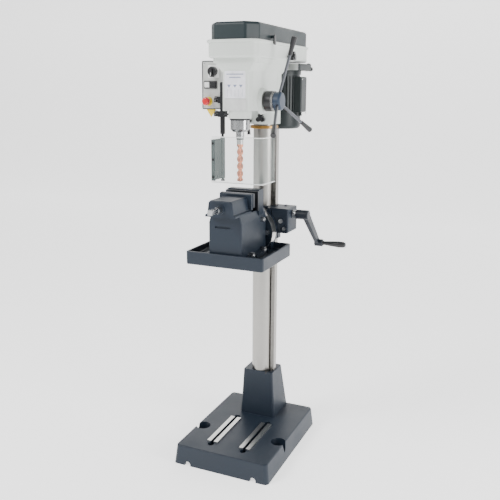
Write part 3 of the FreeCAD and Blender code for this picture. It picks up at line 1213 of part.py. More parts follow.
def vise_body():
    plan = [("-vise_half", "tray_floor"), ("vise_half", "tray_floor"),
            ("vise_half", "vise_shoulder"), ("vise_top_half", "vise_top - 0.3"),
            ("-vise_top_half", "vise_top - 0.3"), ("-vise_half", "vise_shoulder")]
    body = rounded(padded("XZ", plan, "vise_front", "vise_back"),
                   ("6", lambda edge: upright(edge) and in_span(edge, "Y", "vise_front", "vise_front")))
    foot = rounded_block(("-vise_foot_half", "vise_foot_half"), ("vise_front + 40", "vise_back - 30"),
                         ("tray_floor", "tray_floor + vise_foot_tall"), "10")
    anvil_plan = [("-jaw_half + 1", "vise_top - 20"), ("jaw_half - 1", "vise_top - 20"),
                  ("jaw_half - 1", "anvil_high"), ("-jaw_half + 1", "anvil_high")]
    anvil = rounded(padded("XZ", anvil_plan, "jaw_gap + jaw_thick", "anvil_back"),
                    ("3", lambda edge: is_straight(edge, "X") and in_span(
                        edge, "Z", "anvil_high", "anvil_high")))
    nut = block(("-nut_half", "nut_half"), ("nut_front", "nut_back"),
                ("vise_shoulder", "screw_z + 14"))
    hollow = [block(("-vise_half + 13", "vise_half - 13"), rows, ("tray_floor - 1", "vise_shoulder - 14"))
              for rows in (("vise_front + 14", "-drill_well - 9"), ("drill_well + 9", "vise_back - 14"))]
    removed = hollow + [rod("Z", ("0", "0"), ("tray_floor - 1", "vise_top + 1"), "drill_well"),
                        block(("-40", "22"), ("vise_front - 1", "vise_front + 5"), ("956", "964")),
                        rod("Y", ("0", "screw_z"), ("nut_front - 1", "nut_back + 1"),
                            "screw_radius + run_gap")]
    for x, y in vise_bolt_places():
        removed.append(rod("Z", (x, y), ("tray_floor - 1", "tray_floor + vise_foot_tall + 1"), "6"))
        outward = (x, f"{x} + 20") if not x.startswith("-") else (f"{x} - 20", x)
        removed.append(block(outward, (f"{y} - 6", f"{y} + 6"),
                             ("tray_floor - 1", "tray_floor + vise_foot_tall + 1")))
    piece("vise_body", cut(fuse(body, foot, anvil, nut), *removed))
    bolts = []
    for x, y in vise_bolt_places():
        top = "tray_floor + vise_foot_tall"
        washer = rod("Z", (x, y), (top, f"{top} + 2.5"), "11.5")
        head = hexagon("Z", (x, y), (f"{top} + 2.5", f"{top} + 11"), "9.5")
        shank = rod("Z", (x, y), ("tray_low + 2", f"{top} + 1"), "6")
        bolts.append(fuse(washer, head, shank))
    stud = rod("X", ("52", "966"), ("vise_half", "vise_half + 12"), "9")
    stud_end = cone("X", ("52", "966"), ("vise_half + 11", "vise_half + 17"), "7", "4")
    piece("vise_bolts", group(*bolts, fuse(stud, stud_end)))
    plate = rounded(block(("-jaw_half", "jaw_half"), ("jaw_gap", "jaw_gap + jaw_thick"),
                          ("vise_top", "jaw_high + 3")), ("1", lambda edge: is_straight(edge, "X")))
    piece("fixed_jaw_plate", plate)


def vise_slide():
    low = "vise_top"
    plan = [("-slide_foot_half", low), ("slide_foot_half", low),
            ("slide_foot_half", f"{low} + 7"), ("slide_foot_half - 7", f"{low} + 11"),
            ("slide_top_half + 6", "slide_top - 7"), ("slide_top_half", "slide_top"),
            ("-slide_top_half", "slide_top"), ("-slide_top_half - 6", "slide_top - 7"),
            ("-slide_foot_half + 7", f"{low} + 11"), ("-slide_foot_half", f"{low} + 7")]
    back = "-jaw_gap - jaw_thick"
    housing = rounded(padded("XZ", plan, "slide_front", f"{back} - 1"),
                      ("4", lambda edge: in_span(edge, "Y", "slide_front", "slide_front")
                       and in_span(edge, "Z", "vise_top + 9", "slide_top")))
    carrier = rounded(block(("-jaw_half + 2", "jaw_half - 2"), (f"{back} - 13", back),
                            ("jaw_low - 6", "jaw_high - 1")),
                      ("3", lambda edge: is_straight(edge, "X") and in_span(
                          edge, "Y", f"{back} - 13", f"{back} - 13")))
    cavity = block(("-16", "16"), ("slide_front + 12", "-38"), (f"{low} - 1", "slide_top - 5"))
    boss = rod("Y", ("0", "screw_z"), ("slide_front - 4", "slide_front"), "screw_head + 5")
    bore = rod("Y", ("0", "screw_z"), ("slide_front - 5", "slide_front + 13"),
               "screw_head + shaft_gap")
    piece("vise_slide", cut(fuse(housing, carrier, boss), cavity, bore))
    plate = rounded(block(("-jaw_half", "jaw_half"), (back, "-jaw_gap"), ("jaw_low", "jaw_high")),
                    ("1", lambda edge: is_straight(edge, "X")))
    piece("moving_jaw_plate", plate)
    thread = rod("Y", ("0", "screw_z"), ("slide_front + 10", "-46"), "screw_radius")
    head = rod("Y", ("0", "screw_z"), ("slide_front - 28", "slide_front + 11"), "screw_head")
    square = rounded(block(("-screw_square", "screw_square"), ("screw_out", "slide_front - 27"),
                           ("screw_z - screw_square", "screw_z + screw_square")),
                     ("2", lambda edge: is_straight(edge, "Y")))
    keeper = rod("Y", ("0", "screw_z"), ("slide_front + 12 + run_gap", "slide_front + 17"),
                 "screw_head + 2.5")
    piece("vise_screw", fuse(thread, head, square, keeper))


# ---- build, check and export --------------------------------------------------------------


def build():
    for make in (base_casting, column_socket, socket_bolts, column, column_ring,
                 rack, head_casting, head_lock_knob, head_lock_lever, belt_housing,
                 belt_cover, hinge_pins, cover_latch, pulleys_and_belt, motor, motor_mounting, quill,
                 spindle, drill_bit, feed_drive, return_spring, switch_box, guard_carrier, guard,
                 table_bracket, lift_pinion, crank, table_tray, vise_body, vise_slide):
        make()
    DOC.recompute()


def check():
    """Stop before anything is written if an object or a sub-part failed to build."""
    failed = [f"{item.Name} in {[user.Label for user in item.InListRecursive]}"
              for item in DOC.Objects if "Invalid" in item.State or "Error" in item.State]
    failed += [f"{label} has no valid solid" for label, item in PIECES.items()
               if item.Shape.isNull() or not item.Shape.isValid() or not item.Shape.Solids]
    if failed:
        raise RuntimeError("\n".join(failed))


def export():
    os.makedirs("parts", exist_ok=True)
    for label, item in PIECES.items():
        item.Shape.exportStep(f"parts/{label}.step")
        size = item.Shape.BoundBox
        print(f"{label:24s} {len(item.Shape.Solids):3d} solids "
              f"x {size.XMin:8.1f} {size.XMax:8.1f}  y {size.YMin:8.1f} {size.YMax:8.1f}  "
              f"z {size.ZMin:8.1f} {size.ZMax:8.1f}  {item.Shape.Volume / 1000:9.1f} cm3")


build()
check()
export()
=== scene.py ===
"""Finishes and small trim for a floor-standing drill press, laid out as an add-on.

Each operator gives one group of parts its finish or makes one group of small pieces, all in metres.
"""
import math

import bmesh
import bpy
from mathutils import Matrix, Vector


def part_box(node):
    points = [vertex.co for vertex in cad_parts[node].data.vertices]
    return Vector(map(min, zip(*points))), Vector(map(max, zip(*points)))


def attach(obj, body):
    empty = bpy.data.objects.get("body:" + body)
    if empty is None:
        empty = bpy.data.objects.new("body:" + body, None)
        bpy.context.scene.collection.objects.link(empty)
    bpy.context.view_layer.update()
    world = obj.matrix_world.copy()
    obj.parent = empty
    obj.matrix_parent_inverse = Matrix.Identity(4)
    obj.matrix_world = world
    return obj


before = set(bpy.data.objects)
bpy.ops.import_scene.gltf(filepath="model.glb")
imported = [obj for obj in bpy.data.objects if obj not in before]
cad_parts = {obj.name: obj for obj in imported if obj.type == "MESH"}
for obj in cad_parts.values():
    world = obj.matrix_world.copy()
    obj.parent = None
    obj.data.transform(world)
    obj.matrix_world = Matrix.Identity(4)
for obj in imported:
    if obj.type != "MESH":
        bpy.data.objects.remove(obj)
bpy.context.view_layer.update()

bl_info = {
    "name": "Drill Press Finishes",
    "version": (1, 0, 0),
    "blender": (4, 5, 0),
    "location": "View3D > Sidebar > Drill Press",
    "description": "Paint, steel, plastic and small trim for a floor-standing drill press",
    "category": "Object",
}

# Places on the parts where a finish changes, in metres.
LAND_FOOT = 0.0787
TILT_AXIS_Z = 0.905
DISC_RIM_IN = 0.0885
DISC_RIM_OUT = 0.0935
DISC_RIM_FRONT = 0.1025
# Height band and reach of the black ring painted on the head as shade in the recess between nose and
# quill.
SHADE_RING_LOW = 1.3385
SHADE_RING_HIGH = 1.3449
SHADE_RING_OUT = 0.0392
GUIDE_ROD_BACK = 0.321
NOSE_COLLAR_TOP = 1.2772
DRILL_SHANK_FOOT = 1.2515
FEED_AXIS_Y = 0.062
FEED_AXIS_Z = 1.407
DEPTH_BAND_X = 0.107
YELLOW_TOP = 1.437
BUTTON_FRAME_TOP = 1.487

# Tints of single pieces, and of the metal or undercoat that shows where their paint is worn.
MACHINED = (0.62, 0.62, 0.60, 1.0)
CRANK_PAINT = (0.014, 0.018, 0.026, 1.0)
COVER_WORN = (0.22, 0.23, 0.24, 1.0)
MOTOR_WORN = (0.12, 0.13, 0.13, 1.0)
GUIDE_ROD = (0.6, 0.6, 0.6, 1.0)
ALUMINIUM = (0.66, 0.67, 0.68, 1.0)
BELT_RUBBER = (0.012, 0.012, 0.012, 1.0)
NOSE_COLLAR = (0.06, 0.06, 0.065, 1.0)
JAW_STEEL = (0.055, 0.06, 0.07, 1.0)
DRILL_SHANK = (0.62, 0.62, 0.62, 1.0)
HUB_WORN = (0.3, 0.33, 0.36, 1.0)
DEPTH_MARK = (0.75, 0.75, 0.72, 1.0)
GUARD_BLACK = (0.010, 0.011, 0.013, 1.0)
GUARD_WORN = (0.09, 0.09, 0.10, 1.0)
BOX_FRAME = (0.035, 0.04, 0.045, 1.0)
BUTTON_FRAME = (0.03, 0.03, 0.033, 1.0)
CLEAR_SHEET = (0.60, 0.67, 0.65, 1.0)
CUT_EDGE = (0.90, 0.92, 0.91, 1.0)
SIDE_PLATE = (0.055, 0.075, 0.075, 1.0)
SIDE_PLATE_WORN = (0.2, 0.22, 0.22, 1.0)
LABEL_WHITE = (0.80, 0.80, 0.86, 1.0)
PLATE_GREY = (0.60, 0.61, 0.60, 1.0)

# How paint takes the light, how deep its relief is and how far wear reaches from an edge.
PAINT_SPECULAR = 0.32
PAINT_RELIEF = 0.0006
WEAR_REACH = 0.0022

DEPTH_MARK_COUNT = 60
DEPTH_MARK_SHARE = 0.22
CUT_EDGE_WIDTH = 0.0032

# How far a small piece is sunk into the face that it sits on.
SUNK = 0.0002

SWEEP_RADIUS = 2.5
SWEEP_STEPS = 12
WALL_TOP = 9.0


# ---- settings -----------------------------------------------------------------------------


def colour(name, description, red, green, blue):
    return bpy.props.FloatVectorProperty(
        name=name, description=description, subtype="COLOR", size=4, min=0.0, max=1.0,
        default=(red, green, blue, 1.0))


def length(name, description, default):
    return bpy.props.FloatProperty(
        name=name, description=description, default=default, subtype="DISTANCE",
        unit="LENGTH")


class DrillPressColours(bpy.types.PropertyGroup):
    casting: colour("Casting", "Paint on the base, table, vise and crank", 0.014, 0.022, 0.035)
    casting_bare: colour("Casting edge", "Metal where casting paint is worn", 0.10, 0.12, 0.15)
    head: colour("Head", "Paint on the head and belt housing", 0.64, 0.675, 0.64)
    head_bare: colour("Head edge", "Undercoat where head paint is worn", 0.45, 0.46, 0.44)
    cover: colour("Cover", "Paint on the belt cover", 0.016, 0.026, 0.029)
    motor: colour("Motor", "Paint on the motor", 0.014, 0.020, 0.021)
    hub: colour("Feed hub", "Paint on the feed hub", 0.030, 0.047, 0.078)
    steel: colour("Ground steel", "Column, rack and quill", 0.36, 0.35, 0.33)
    plated: colour("Plated steel", "Bolts, pins and screws", 0.47, 0.48, 0.49)
    dark_steel: colour("Dark steel", "Handle rods and jaw plates", 0.13, 0.135, 0.15)
    drill: colour("Drill", "Coating on the drill's flutes", 0.78, 0.27, 0.13)
    brass: colour("Brass", "Ring above the rack", 0.36, 0.20, 0.06)
    plastic: colour("Black plastic", "Knobs and grips", 0.012, 0.012, 0.014)
    panel: colour("Panel", "Front of the switch box", 0.50, 0.51, 0.49)
    white: colour("White", "Switch plate and labels", 0.80, 0.80, 0.79)
    yellow: colour("Yellow", "Emergency stop collar and tag", 0.85, 0.60, 0.02)
    red: colour("Red", "Emergency stop", 0.62, 0.012, 0.02)
    label_ink: colour("Label ink", "Marks on the label", 0.20, 0.23, 0.34)


class DrillPressPlates(bpy.types.PropertyGroup):
    face: length("Face", "Where the head's flat front lies along Y", -0.044)
    label_half: length("Label half width", "Half the speed label's width", 0.041)
    label_low: length("Label bottom", "Height of the speed label's lower edge", 1.417)
    label_high: length("Label top", "Height of the speed label's upper edge", 1.512)
    label_thick: length("Label thickness", "How far the label stands out", 0.0010)
    plate_half: length("Plate half width", "Half the lower plate's width", 0.044)
    plate_low: length("Plate bottom", "Height of the lower plate's lower edge", 1.374)
    plate_high: length("Plate top", "Height of the lower plate's upper edge", 1.415)
    plate_thick: length("Plate thickness", "How far the lower plate stands out", 0.0020)
    corner: length("Corner", "Corner radius of the plates", 0.005)


class DrillPressStage(bpy.types.PropertyGroup):
    floor_half: length("Floor half width", "Half the floor sweep's width", 9.0)
    floor_back: length("Floor depth", "How far back the floor goes before it turns up", 5.0)
    light_power: bpy.props.FloatProperty(
        name="Key light", description="Power of the key light in watts", default=150.0, min=0.0)
    lens: bpy.props.FloatProperty(
        name="Lens", description="Focal length in millimetres", default=48.49, min=1.0)
    camera_place: bpy.props.FloatVectorProperty(
        name="Camera place", description="Where the camera stands", subtype="XYZ",
        unit="LENGTH", default=(1.0474, -2.2837, 1.4462))
    camera_turn: bpy.props.FloatVectorProperty(
        name="Camera turn", description="Rotation of the camera", subtype="EULER",
        unit="ROTATION",
        default=(math.radians(76.64), math.radians(-0.24), math.radians(23.82)))


# ---- shader groups ------------------------------------------------------------------------


def new_group(name, inputs, outputs):
    tree = bpy.data.node_groups.new(name, "ShaderNodeTree")
    for label, kind, default in inputs:
        socket = tree.interface.new_socket(name=label, in_out="INPUT", socket_type=kind)
        socket.default_value = default
    for label, kind in outputs:
        tree.interface.new_socket(name=label, in_out="OUTPUT", socket_type=kind)
    start = tree.nodes.new("NodeGroupInput")
    end = tree.nodes.new("NodeGroupOutput")
    return tree, start, end


def math_node(tree, operation, first, second=None, clamp=False):
    node = tree.nodes.new("ShaderNodeMath")
    node.operation = operation
    node.use_clamp = clamp
    for index, value in enumerate((first, second)):
        if value is None:
            continue
        if isinstance(value, (int, float)):
            node.inputs[index].default_value = value
        else:
            tree.links.new(value, node.inputs[index])
    return node.outputs[0]


def mixed(tree, factor, first, second):
    node = tree.nodes.new("ShaderNodeMix")
    node.data_type = "RGBA"
    for socket, value in ((node.inputs["Factor"], factor), (node.inputs[6], first),
                          (node.inputs[7], second)):
        if hasattr(value, "is_output"):
            tree.links.new(value, socket)
        else:
            socket.default_value = value
    return node.outputs[2]


def remapped(tree, value, low, high, to_low=0.0, to_high=1.0):
    node = tree.nodes.new("ShaderNodeMapRange")
    tree.links.new(value, node.inputs["Value"])
    node.inputs["From Min"].default_value = low
    node.inputs["From Max"].default_value = high
    node.inputs["To Min"].default_value = to_low
    node.inputs["To Max"].default_value = to_high
    return node.outputs["Result"]


def noise(tree, coordinates, scale, detail=3.0, roughness=0.5):
    node = tree.nodes.new("ShaderNodeTexNoise")
    node.inputs["Detail"].default_value = detail
    node.inputs["Roughness"].default_value = roughness
    tree.links.new(coordinates, node.inputs["Vector"])
    if hasattr(scale, "is_output"):
        tree.links.new(scale, node.inputs["Scale"])
    else:
        node.inputs["Scale"].default_value = scale
    return node.outputs["Fac"]


def own_place(tree):
    return tree.nodes.new("ShaderNodeTexCoord").outputs["Object"]


def edge_wear_group():
    """Where edges are worn: a mask from the rounded normal, broken up by noise."""
    tree, start, end = new_group(
        "edge_wear", [("Reach", "NodeSocketFloat", 0.002), ("Amount", "NodeSocketFloat", 0.5)],
        [("Mask", "NodeSocketFloat")])
    bevel = tree.nodes.new("ShaderNodeBevel")
    bevel.samples = 4
    tree.links.new(start.outputs["Reach"], bevel.inputs["Radius"])
    geometry = tree.nodes.new("ShaderNodeNewGeometry")
    dot = tree.nodes.new("ShaderNodeVectorMath")
    dot.operation = "DOT_PRODUCT"
    tree.links.new(bevel.outputs[0], dot.inputs[0])
    tree.links.new(geometry.outputs["Normal"], dot.inputs[1])
    edge = remapped(tree, dot.outputs["Value"], 0.995, 0.85)
    broken = remapped(tree, noise(tree, own_place(tree), 60.0, 4.0, 0.65), 0.42, 0.62)
    mask = math_node(tree, "MULTIPLY", edge, broken, clamp=True)
    mask = math_node(tree, "MULTIPLY", mask, start.outputs["Amount"], clamp=True)
    tree.links.new(mask, end.inputs["Mask"])
    return tree


def sprayed_paint_group():
    """Sprayed paint on cast iron: slow colour change, fine orange peel, dull patches."""
    tree, start, end = new_group(
        "sprayed_paint",
        [("Paint", "NodeSocketColor", (0.5, 0.5, 0.5, 1.0)),
         ("Bare", "NodeSocketColor", (0.5, 0.5, 0.5, 1.0)),
         ("Wear", "NodeSocketFloat", 0.0), ("Mottle", "NodeSocketFloat", 0.15),
         ("Peel Size", "NodeSocketFloat", 420.0), ("Dull", "NodeSocketFloat", 0.4)],
        [("Color", "NodeSocketColor"), ("Roughness", "NodeSocketFloat"),
         ("Height", "NodeSocketFloat")])
    here = own_place(tree)
    slow = noise(tree, here, 5.0, 4.0, 0.6)
    fine = noise(tree, here, 140.0, 3.0, 0.6)
    shade = math_node(tree, "ADD", math_node(tree, "MULTIPLY", slow, 0.7),
                      math_node(tree, "MULTIPLY", fine, 0.3))
    shade = remapped(tree, shade, 0.3, 0.7, -1.0, 1.0)
    shade = math_node(tree, "MULTIPLY", shade, start.outputs["Mottle"])
    shade = math_node(tree, "ADD", shade, 1.0)
    tone = tree.nodes.new("ShaderNodeHueSaturation")
    tree.links.new(start.outputs["Paint"], tone.inputs["Color"])
    tree.links.new(shade, tone.inputs["Value"])
    worn = mixed(tree, start.outputs["Wear"], tone.outputs["Color"], start.outputs["Bare"])
    tree.links.new(worn, end.inputs["Color"])
    dull = math_node(tree, "ADD", start.outputs["Dull"],
                     remapped(tree, slow, 0.3, 0.7, -0.07, 0.07), clamp=True)
    tree.links.new(dull, end.inputs["Roughness"])
    peel = noise(tree, here, start.outputs["Peel Size"], 2.0, 0.5)
    tree.links.new(peel, end.inputs["Height"])
    return tree


def ground_steel_group():
    """Ground or turned steel: fine lines whose direction follows the stretch."""
    tree, start, end = new_group(
        "ground_steel",
        [("Steel", "NodeSocketColor", (0.6, 0.6, 0.6, 1.0)),
         ("Stretch", "NodeSocketVector", (8.0, 8.0, 700.0)),
         ("Contrast", "NodeSocketFloat", 0.12), ("Dull", "NodeSocketFloat", 0.3)],
        [("Color", "NodeSocketColor"), ("Roughness", "NodeSocketFloat"),
         ("Height", "NodeSocketFloat")])
    here = own_place(tree)
    stretch = tree.nodes.new("ShaderNodeVectorMath")
    stretch.operation = "MULTIPLY"
    tree.links.new(here, stretch.inputs[0])
    tree.links.new(start.outputs["Stretch"], stretch.inputs[1])
    lines = noise(tree, stretch.outputs[0], 1.0, 4.0, 0.7)
    cloud = noise(tree, here, 12.0, 3.0, 0.6)
    shade = remapped(tree, math_node(tree, "ADD", lines, cloud), 0.75, 1.25, -1.0, 1.0)
    shade = math_node(tree, "MULTIPLY", shade, start.outputs["Contrast"])
    tone = tree.nodes.new("ShaderNodeHueSaturation")
    tree.links.new(start.outputs["Steel"], tone.inputs["Color"])
    tree.links.new(math_node(tree, "ADD", shade, 1.0), tone.inputs["Value"])
    tree.links.new(tone.outputs["Color"], end.inputs["Color"])
    rough = math_node(tree, "ADD", start.outputs["Dull"],
                      remapped(tree, cloud, 0.3, 0.7, -0.06, 0.06), clamp=True)
    tree.links.new(rough, end.inputs["Roughness"])
    tree.links.new(lines, end.inputs["Height"])
    return tree


def moulded_grain_group():
    """Moulded plastic or rubber: fine grain and a slow change of sheen."""
    tree, start, end = new_group(
        "moulded_grain",
        [("Plastic", "NodeSocketColor", (0.1, 0.1, 0.1, 1.0)),
         ("Grain", "NodeSocketFloat", 900.0), ("Dull", "NodeSocketFloat", 0.4)],
        [("Color", "NodeSocketColor"), ("Roughness", "NodeSocketFloat"),
         ("Height", "NodeSocketFloat")])
    here = own_place(tree)
    slow = noise(tree, here, 30.0, 3.0, 0.6)
    tone = tree.nodes.new("ShaderNodeHueSaturation")
    tree.links.new(start.outputs["Plastic"], tone.inputs["Color"])
    tree.links.new(remapped(tree, slow, 0.3, 0.7, 0.88, 1.12), tone.inputs["Value"])
    tree.links.new(tone.outputs["Color"], end.inputs["Color"])
    rough = math_node(tree, "ADD", start.outputs["Dull"],
                      remapped(tree, slow, 0.3, 0.7, -0.06, 0.06), clamp=True)
    tree.links.new(rough, end.inputs["Roughness"])
    tree.links.new(noise(tree, here, start.outputs["Grain"], 2.0, 0.5), end.inputs["Height"])
    return tree


GROUP_MAKERS = {"edge_wear": edge_wear_group, "sprayed_paint": sprayed_paint_group,
                "ground_steel": ground_steel_group, "moulded_grain": moulded_grain_group}


def placed_group(tree, name, **values):
    shared = bpy.data.node_groups.get(name)
    if shared is None:
        shared = GROUP_MAKERS[name]()
    node = tree.nodes.new("ShaderNodeGroup")
    node.node_tree = shared
    for label, value in values.items():
        socket = node.inputs[label.replace("_", " ")]
        if hasattr(value, "is_output"):
            tree.links.new(value, socket)
        else:
            socket.default_value = value
    return node


# ---- materials ----------------------------------------------------------------------------


def plain_material(name):
    material = bpy.data.materials.new(name)
    material.use_nodes = True
    return material, material.node_tree, material.node_tree.nodes["Principled BSDF"]


def wired(material, tree, shader, node, bump, bump_reach, extra):
    """Feeds a group's colour, roughness and relief to the material's shader.

    extra, if given, takes the tree and the group's colour and roughness and puts out both again.
    """
    tint, rough = node.outputs["Color"], node.outputs["Roughness"]
    if extra is not None:
        tint, rough = extra(tree, shader, tint, rough)
    tree.links.new(tint, shader.inputs["Base Color"])
    tree.links.new(rough, shader.inputs["Roughness"])
    relief = tree.nodes.new("ShaderNodeBump")
    relief.inputs["Strength"].default_value = bump
    relief.inputs["Distance"].default_value = bump_reach
    tree.links.new(node.outputs["Height"], relief.inputs["Height"])
    tree.links.new(relief.outputs["Normal"], shader.inputs["Normal"])
    return material


def dressed(name, group, bump, bump_reach, metallic=0.0, coat=0.0, extra=None, **values):
    material, tree, shader = plain_material(name)
    shader.inputs["Metallic"].default_value = metallic
    shader.inputs["Coat Weight"].default_value = coat
    node = placed_group(tree, group, **values)
    return wired(material, tree, shader, node, bump, bump_reach, extra)


def painted(name, paint, bare, wear=0.5, dull=0.42, mottle=0.1, peel=420.0, bump=0.12, extra=None):
    material, tree, shader = plain_material(name)
    shader.inputs["Specular IOR Level"].default_value = PAINT_SPECULAR
    mask = placed_group(tree, "edge_wear", Reach=WEAR_REACH, Amount=wear).outputs["Mask"]
    node = placed_group(tree, "sprayed_paint", Paint=paint, Bare=bare, Wear=mask, Mottle=mottle,
                        Peel_Size=peel, Dull=dull)
    return wired(material, tree, shader, node, bump, PAINT_RELIEF, extra)


def steel(name, tint, stretch, dull=0.3, contrast=0.12, extra=None):
    return dressed(name, "ground_steel", 0.05, 0.0003, metallic=1.0, extra=extra, Steel=tint,
                   Stretch=stretch, Contrast=contrast, Dull=dull)


def plastic(name, tint, dull=0.42, grain=900.0, coat=0.0, extra=None):
    return dressed(name, "moulded_grain", 0.1, 0.0004, coat=coat, extra=extra, Plastic=tint,
                   Grain=grain, Dull=dull)


def axis_value(tree, axis):
    split = tree.nodes.new("ShaderNodeSeparateXYZ")
    tree.links.new(own_place(tree), split.inputs[0])
    return split.outputs[axis]


def between(tree, value, low, high):
    above = math_node(tree, "GREATER_THAN", value, low)
    below = math_node(tree, "LESS_THAN", value, high)
    return math_node(tree, "MULTIPLY", above, below)


def distance_from(tree, first, first_place, second, second_place):
    """Distance from a line along the third axis."""
    one = math_node(tree, "SUBTRACT", axis_value(tree, first), first_place)
    two = math_node(tree, "SUBTRACT", axis_value(tree, second), second_place)
    square = math_node(tree, "ADD", math_node(tree, "MULTIPLY", one, one),
                       math_node(tree, "MULTIPLY", two, two))
    return math_node(tree, "SQRT", square)


def bare_metal_where(mask_of, tint, dull=0.28):
    """An extra that turns the paint to bare metal where the mask is."""
    def change(tree, shader, colour_out, rough_out):
        mask = mask_of(tree)
        tree.links.new(mask, shader.inputs["Metallic"])
        rough = tree.nodes.new("ShaderNodeMix")
        tree.links.new(mask, rough.inputs["Factor"])
        tree.links.new(rough_out, rough.inputs[2])
        rough.inputs[3].default_value = dull
        return mixed(tree, mask, colour_out, tint), rough.outputs[0]
    return change


def tinted_where(mask_of, tint):
    """An extra that changes only the colour where the mask is."""
    def change(tree, shader, colour_out, rough_out):
        return mixed(tree, mask_of(tree), colour_out, tint), rough_out
    return change


# ---- small meshes -------------------------------------------------------------------------


def finish_node(name, material):
    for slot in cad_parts[name].material_slots:
        slot.material = material
    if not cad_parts[name].material_slots:
        raise RuntimeError(f"{name} has no material slot")


def finish_nodes(material, *names):
    for name in names:
        finish_node(name, material)


def piece_from(name, build, materials, body):
    mesh = bpy.data.meshes.new(name)
    work = bmesh.new()
    build(work)
    bmesh.ops.remove_doubles(work, verts=work.verts, dist=0.000001)
    bmesh.ops.recalc_face_normals(work, faces=work.faces)
    work.to_mesh(mesh)
    work.free()
    for material in materials:
        mesh.materials.append(material)
    item = bpy.data.objects.new(name, mesh)
    bpy.context.scene.collection.objects.link(item)
    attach(item, body)
    return item


def rounded_outline(low, high, corner, steps=6):
    """Corner points of a rounded rectangle, going round once, in its own plane."""
    points = []
    for centre_x, centre_z, start in (
            (high[0] - corner, high[1] - corner, 0), (low[0] + corner, high[1] - corner, 90),
            (low[0] + corner, low[1] + corner, 180), (high[0] - corner, low[1] + corner, 270)):
        for step in range(steps + 1):
            angle = math.radians(start + 90 * step / steps)
            points.append((centre_x + corner * math.cos(angle), centre_z + corner * math.sin(angle)))
    return points


def bar_outline(low, high):
    """The four corners of a plain bar, going round once."""
    return (low, (high[0], low[1]), high, (low[0], high[1]))


def add_sheet(work, outline, back, front, edge, index=0):
    """A flat plate facing -Y with a bevelled front edge; outline is in X and Z."""
    middle = Vector((sum(p[0] for p in outline) / len(outline), 0,
                     sum(p[1] for p in outline) / len(outline)))
    rings = []
    for y, inset in ((back, 0.0), (front + edge, 0.0), (front, edge)):
        ring = []
        for x, z in outline:
            way = Vector((x, 0, z)) - middle
            out = way * (1 - inset / max(way.length, 0.0001))
            ring.append(work.verts.new((middle.x + out.x, y, middle.z + out.z)))
        rings.append(ring)
    faces = [work.faces.new(rings[0]), work.faces.new(rings[-1][::-1])]
    count = len(outline)
    for first, second in zip(rings, rings[1:]):
        for step in range(count):
            after = (step + 1) % count
            faces.append(work.faces.new((first[step], first[after], second[after], second[step])))
    for face in faces:
        face.material_index = index


def add_turned(work, profile, place, axis, segments=28, index=0):
    """A turned piece: profile is (radius, height) pairs from its foot up along axis."""
    turn = Vector((0, 0, 1)).rotation_difference(Vector(axis)).to_matrix().to_4x4()
    where = Matrix.Translation(Vector(place)) @ turn
    rings = []
    for radius, height in profile:
        if radius == 0:
            rings.append([work.verts.new(where @ Vector((0, 0, height)))])
            continue
        rings.append([work.verts.new(where @ Vector((
            radius * math.cos(2 * math.pi * step / segments),
            radius * math.sin(2 * math.pi * step / segments), height)))
            for step in range(segments)])
    for first, second in zip(rings, rings[1:]):
        for step in range(segments):
            after = (step + 1) % segments
            corners = [first[step % len(first)], first[after % len(first)],
                       second[after % len(second)], second[step % len(second)]]
            unique = list(dict.fromkeys(corners))
            if len(unique) > 2:
                face = work.faces.new(unique)
                face.smooth = True
                face.material_index = index


def screw_profile(radius, tall):
    """A button head with a round socket in it."""
    return ((radius, 0), (radius, tall * 0.35), (radius * 0.86, tall * 0.8), (radius * 0.6, tall),
            (radius * 0.42, tall), (radius * 0.38, tall * 0.45), (0, tall * 0.4))


# ---- operators: finishes ------------------------------------------------------------------


class DRILLPRESS_OT_castings(bpy.types.Operator):
    """Blue-grey paint on the base, column socket, table, vise and crank."""
    bl_idname = "drillpress.castings"
    bl_label = "Castings"

    def execute(self, context):
        tints = context.scene.drill_press_colours

        def lands(tree):
            return math_node(tree, "GREATER_THAN", axis_value(tree, "Z"), LAND_FOOT)

        def disc_rim(tree):
            away = distance_from(tree, "X", 0.0, "Z", TILT_AXIS_Z)
            rim = between(tree, away, DISC_RIM_IN, DISC_RIM_OUT)
            back = math_node(tree, "GREATER_THAN", axis_value(tree, "Y"), DISC_RIM_FRONT)
            return math_node(tree, "MULTIPLY", rim, back)

        base = painted("casting_base", tints.casting, tints.casting_bare, wear=0.45,
                       extra=bare_metal_where(lands, MACHINED))
        tray = painted("casting_tray", tints.casting, tints.casting_bare, wear=0.45,
                       extra=bare_metal_where(disc_rim, MACHINED))
        casting = painted("casting", tints.casting, tints.casting_bare, wear=0.4)
        finish_nodes(base, "base_casting")
        finish_nodes(tray, "table_tray")
        finish_nodes(casting, "column_socket", "table_bracket", "vise_body", "vise_slide")
        crank = painted("casting_crank", CRANK_PAINT, tints.casting_bare, wear=0.3, dull=0.32)
        finish_nodes(crank, "crank_arm")
        return {"FINISHED"}


class DRILLPRESS_OT_head(bpy.types.Operator):
    """Off-white paint on the head and the belt housing, with a black band of painted shade in the
    recess between the nose and the quill.
    """
    bl_idname = "drillpress.head"
    bl_label = "Head and housing"

    def execute(self, context):
        tints = context.scene.drill_press_colours

        # Painted shade: a black band on the head where the recess between the nose and the quill lies
        # in shadow.
        def painted_shade_ring(tree):
            height = between(tree, axis_value(tree, "Z"), SHADE_RING_LOW, SHADE_RING_HIGH)
            away = distance_from(tree, "X", 0.0, "Y", 0.0)
            near = math_node(tree, "LESS_THAN", away, SHADE_RING_OUT)
            return math_node(tree, "MULTIPLY", height, near)

        head = painted("head_paint", tints.head, tints.head_bare, wear=0.2, dull=0.38, mottle=0.035,
                       extra=tinted_where(painted_shade_ring, tints.plastic))
        housing = painted("housing_paint", tints.head, tints.head_bare, wear=0.2, dull=0.34,
                          mottle=0.03)
        finish_nodes(head, "head_casting")
        finish_nodes(housing, "belt_housing")
        return {"FINISHED"}


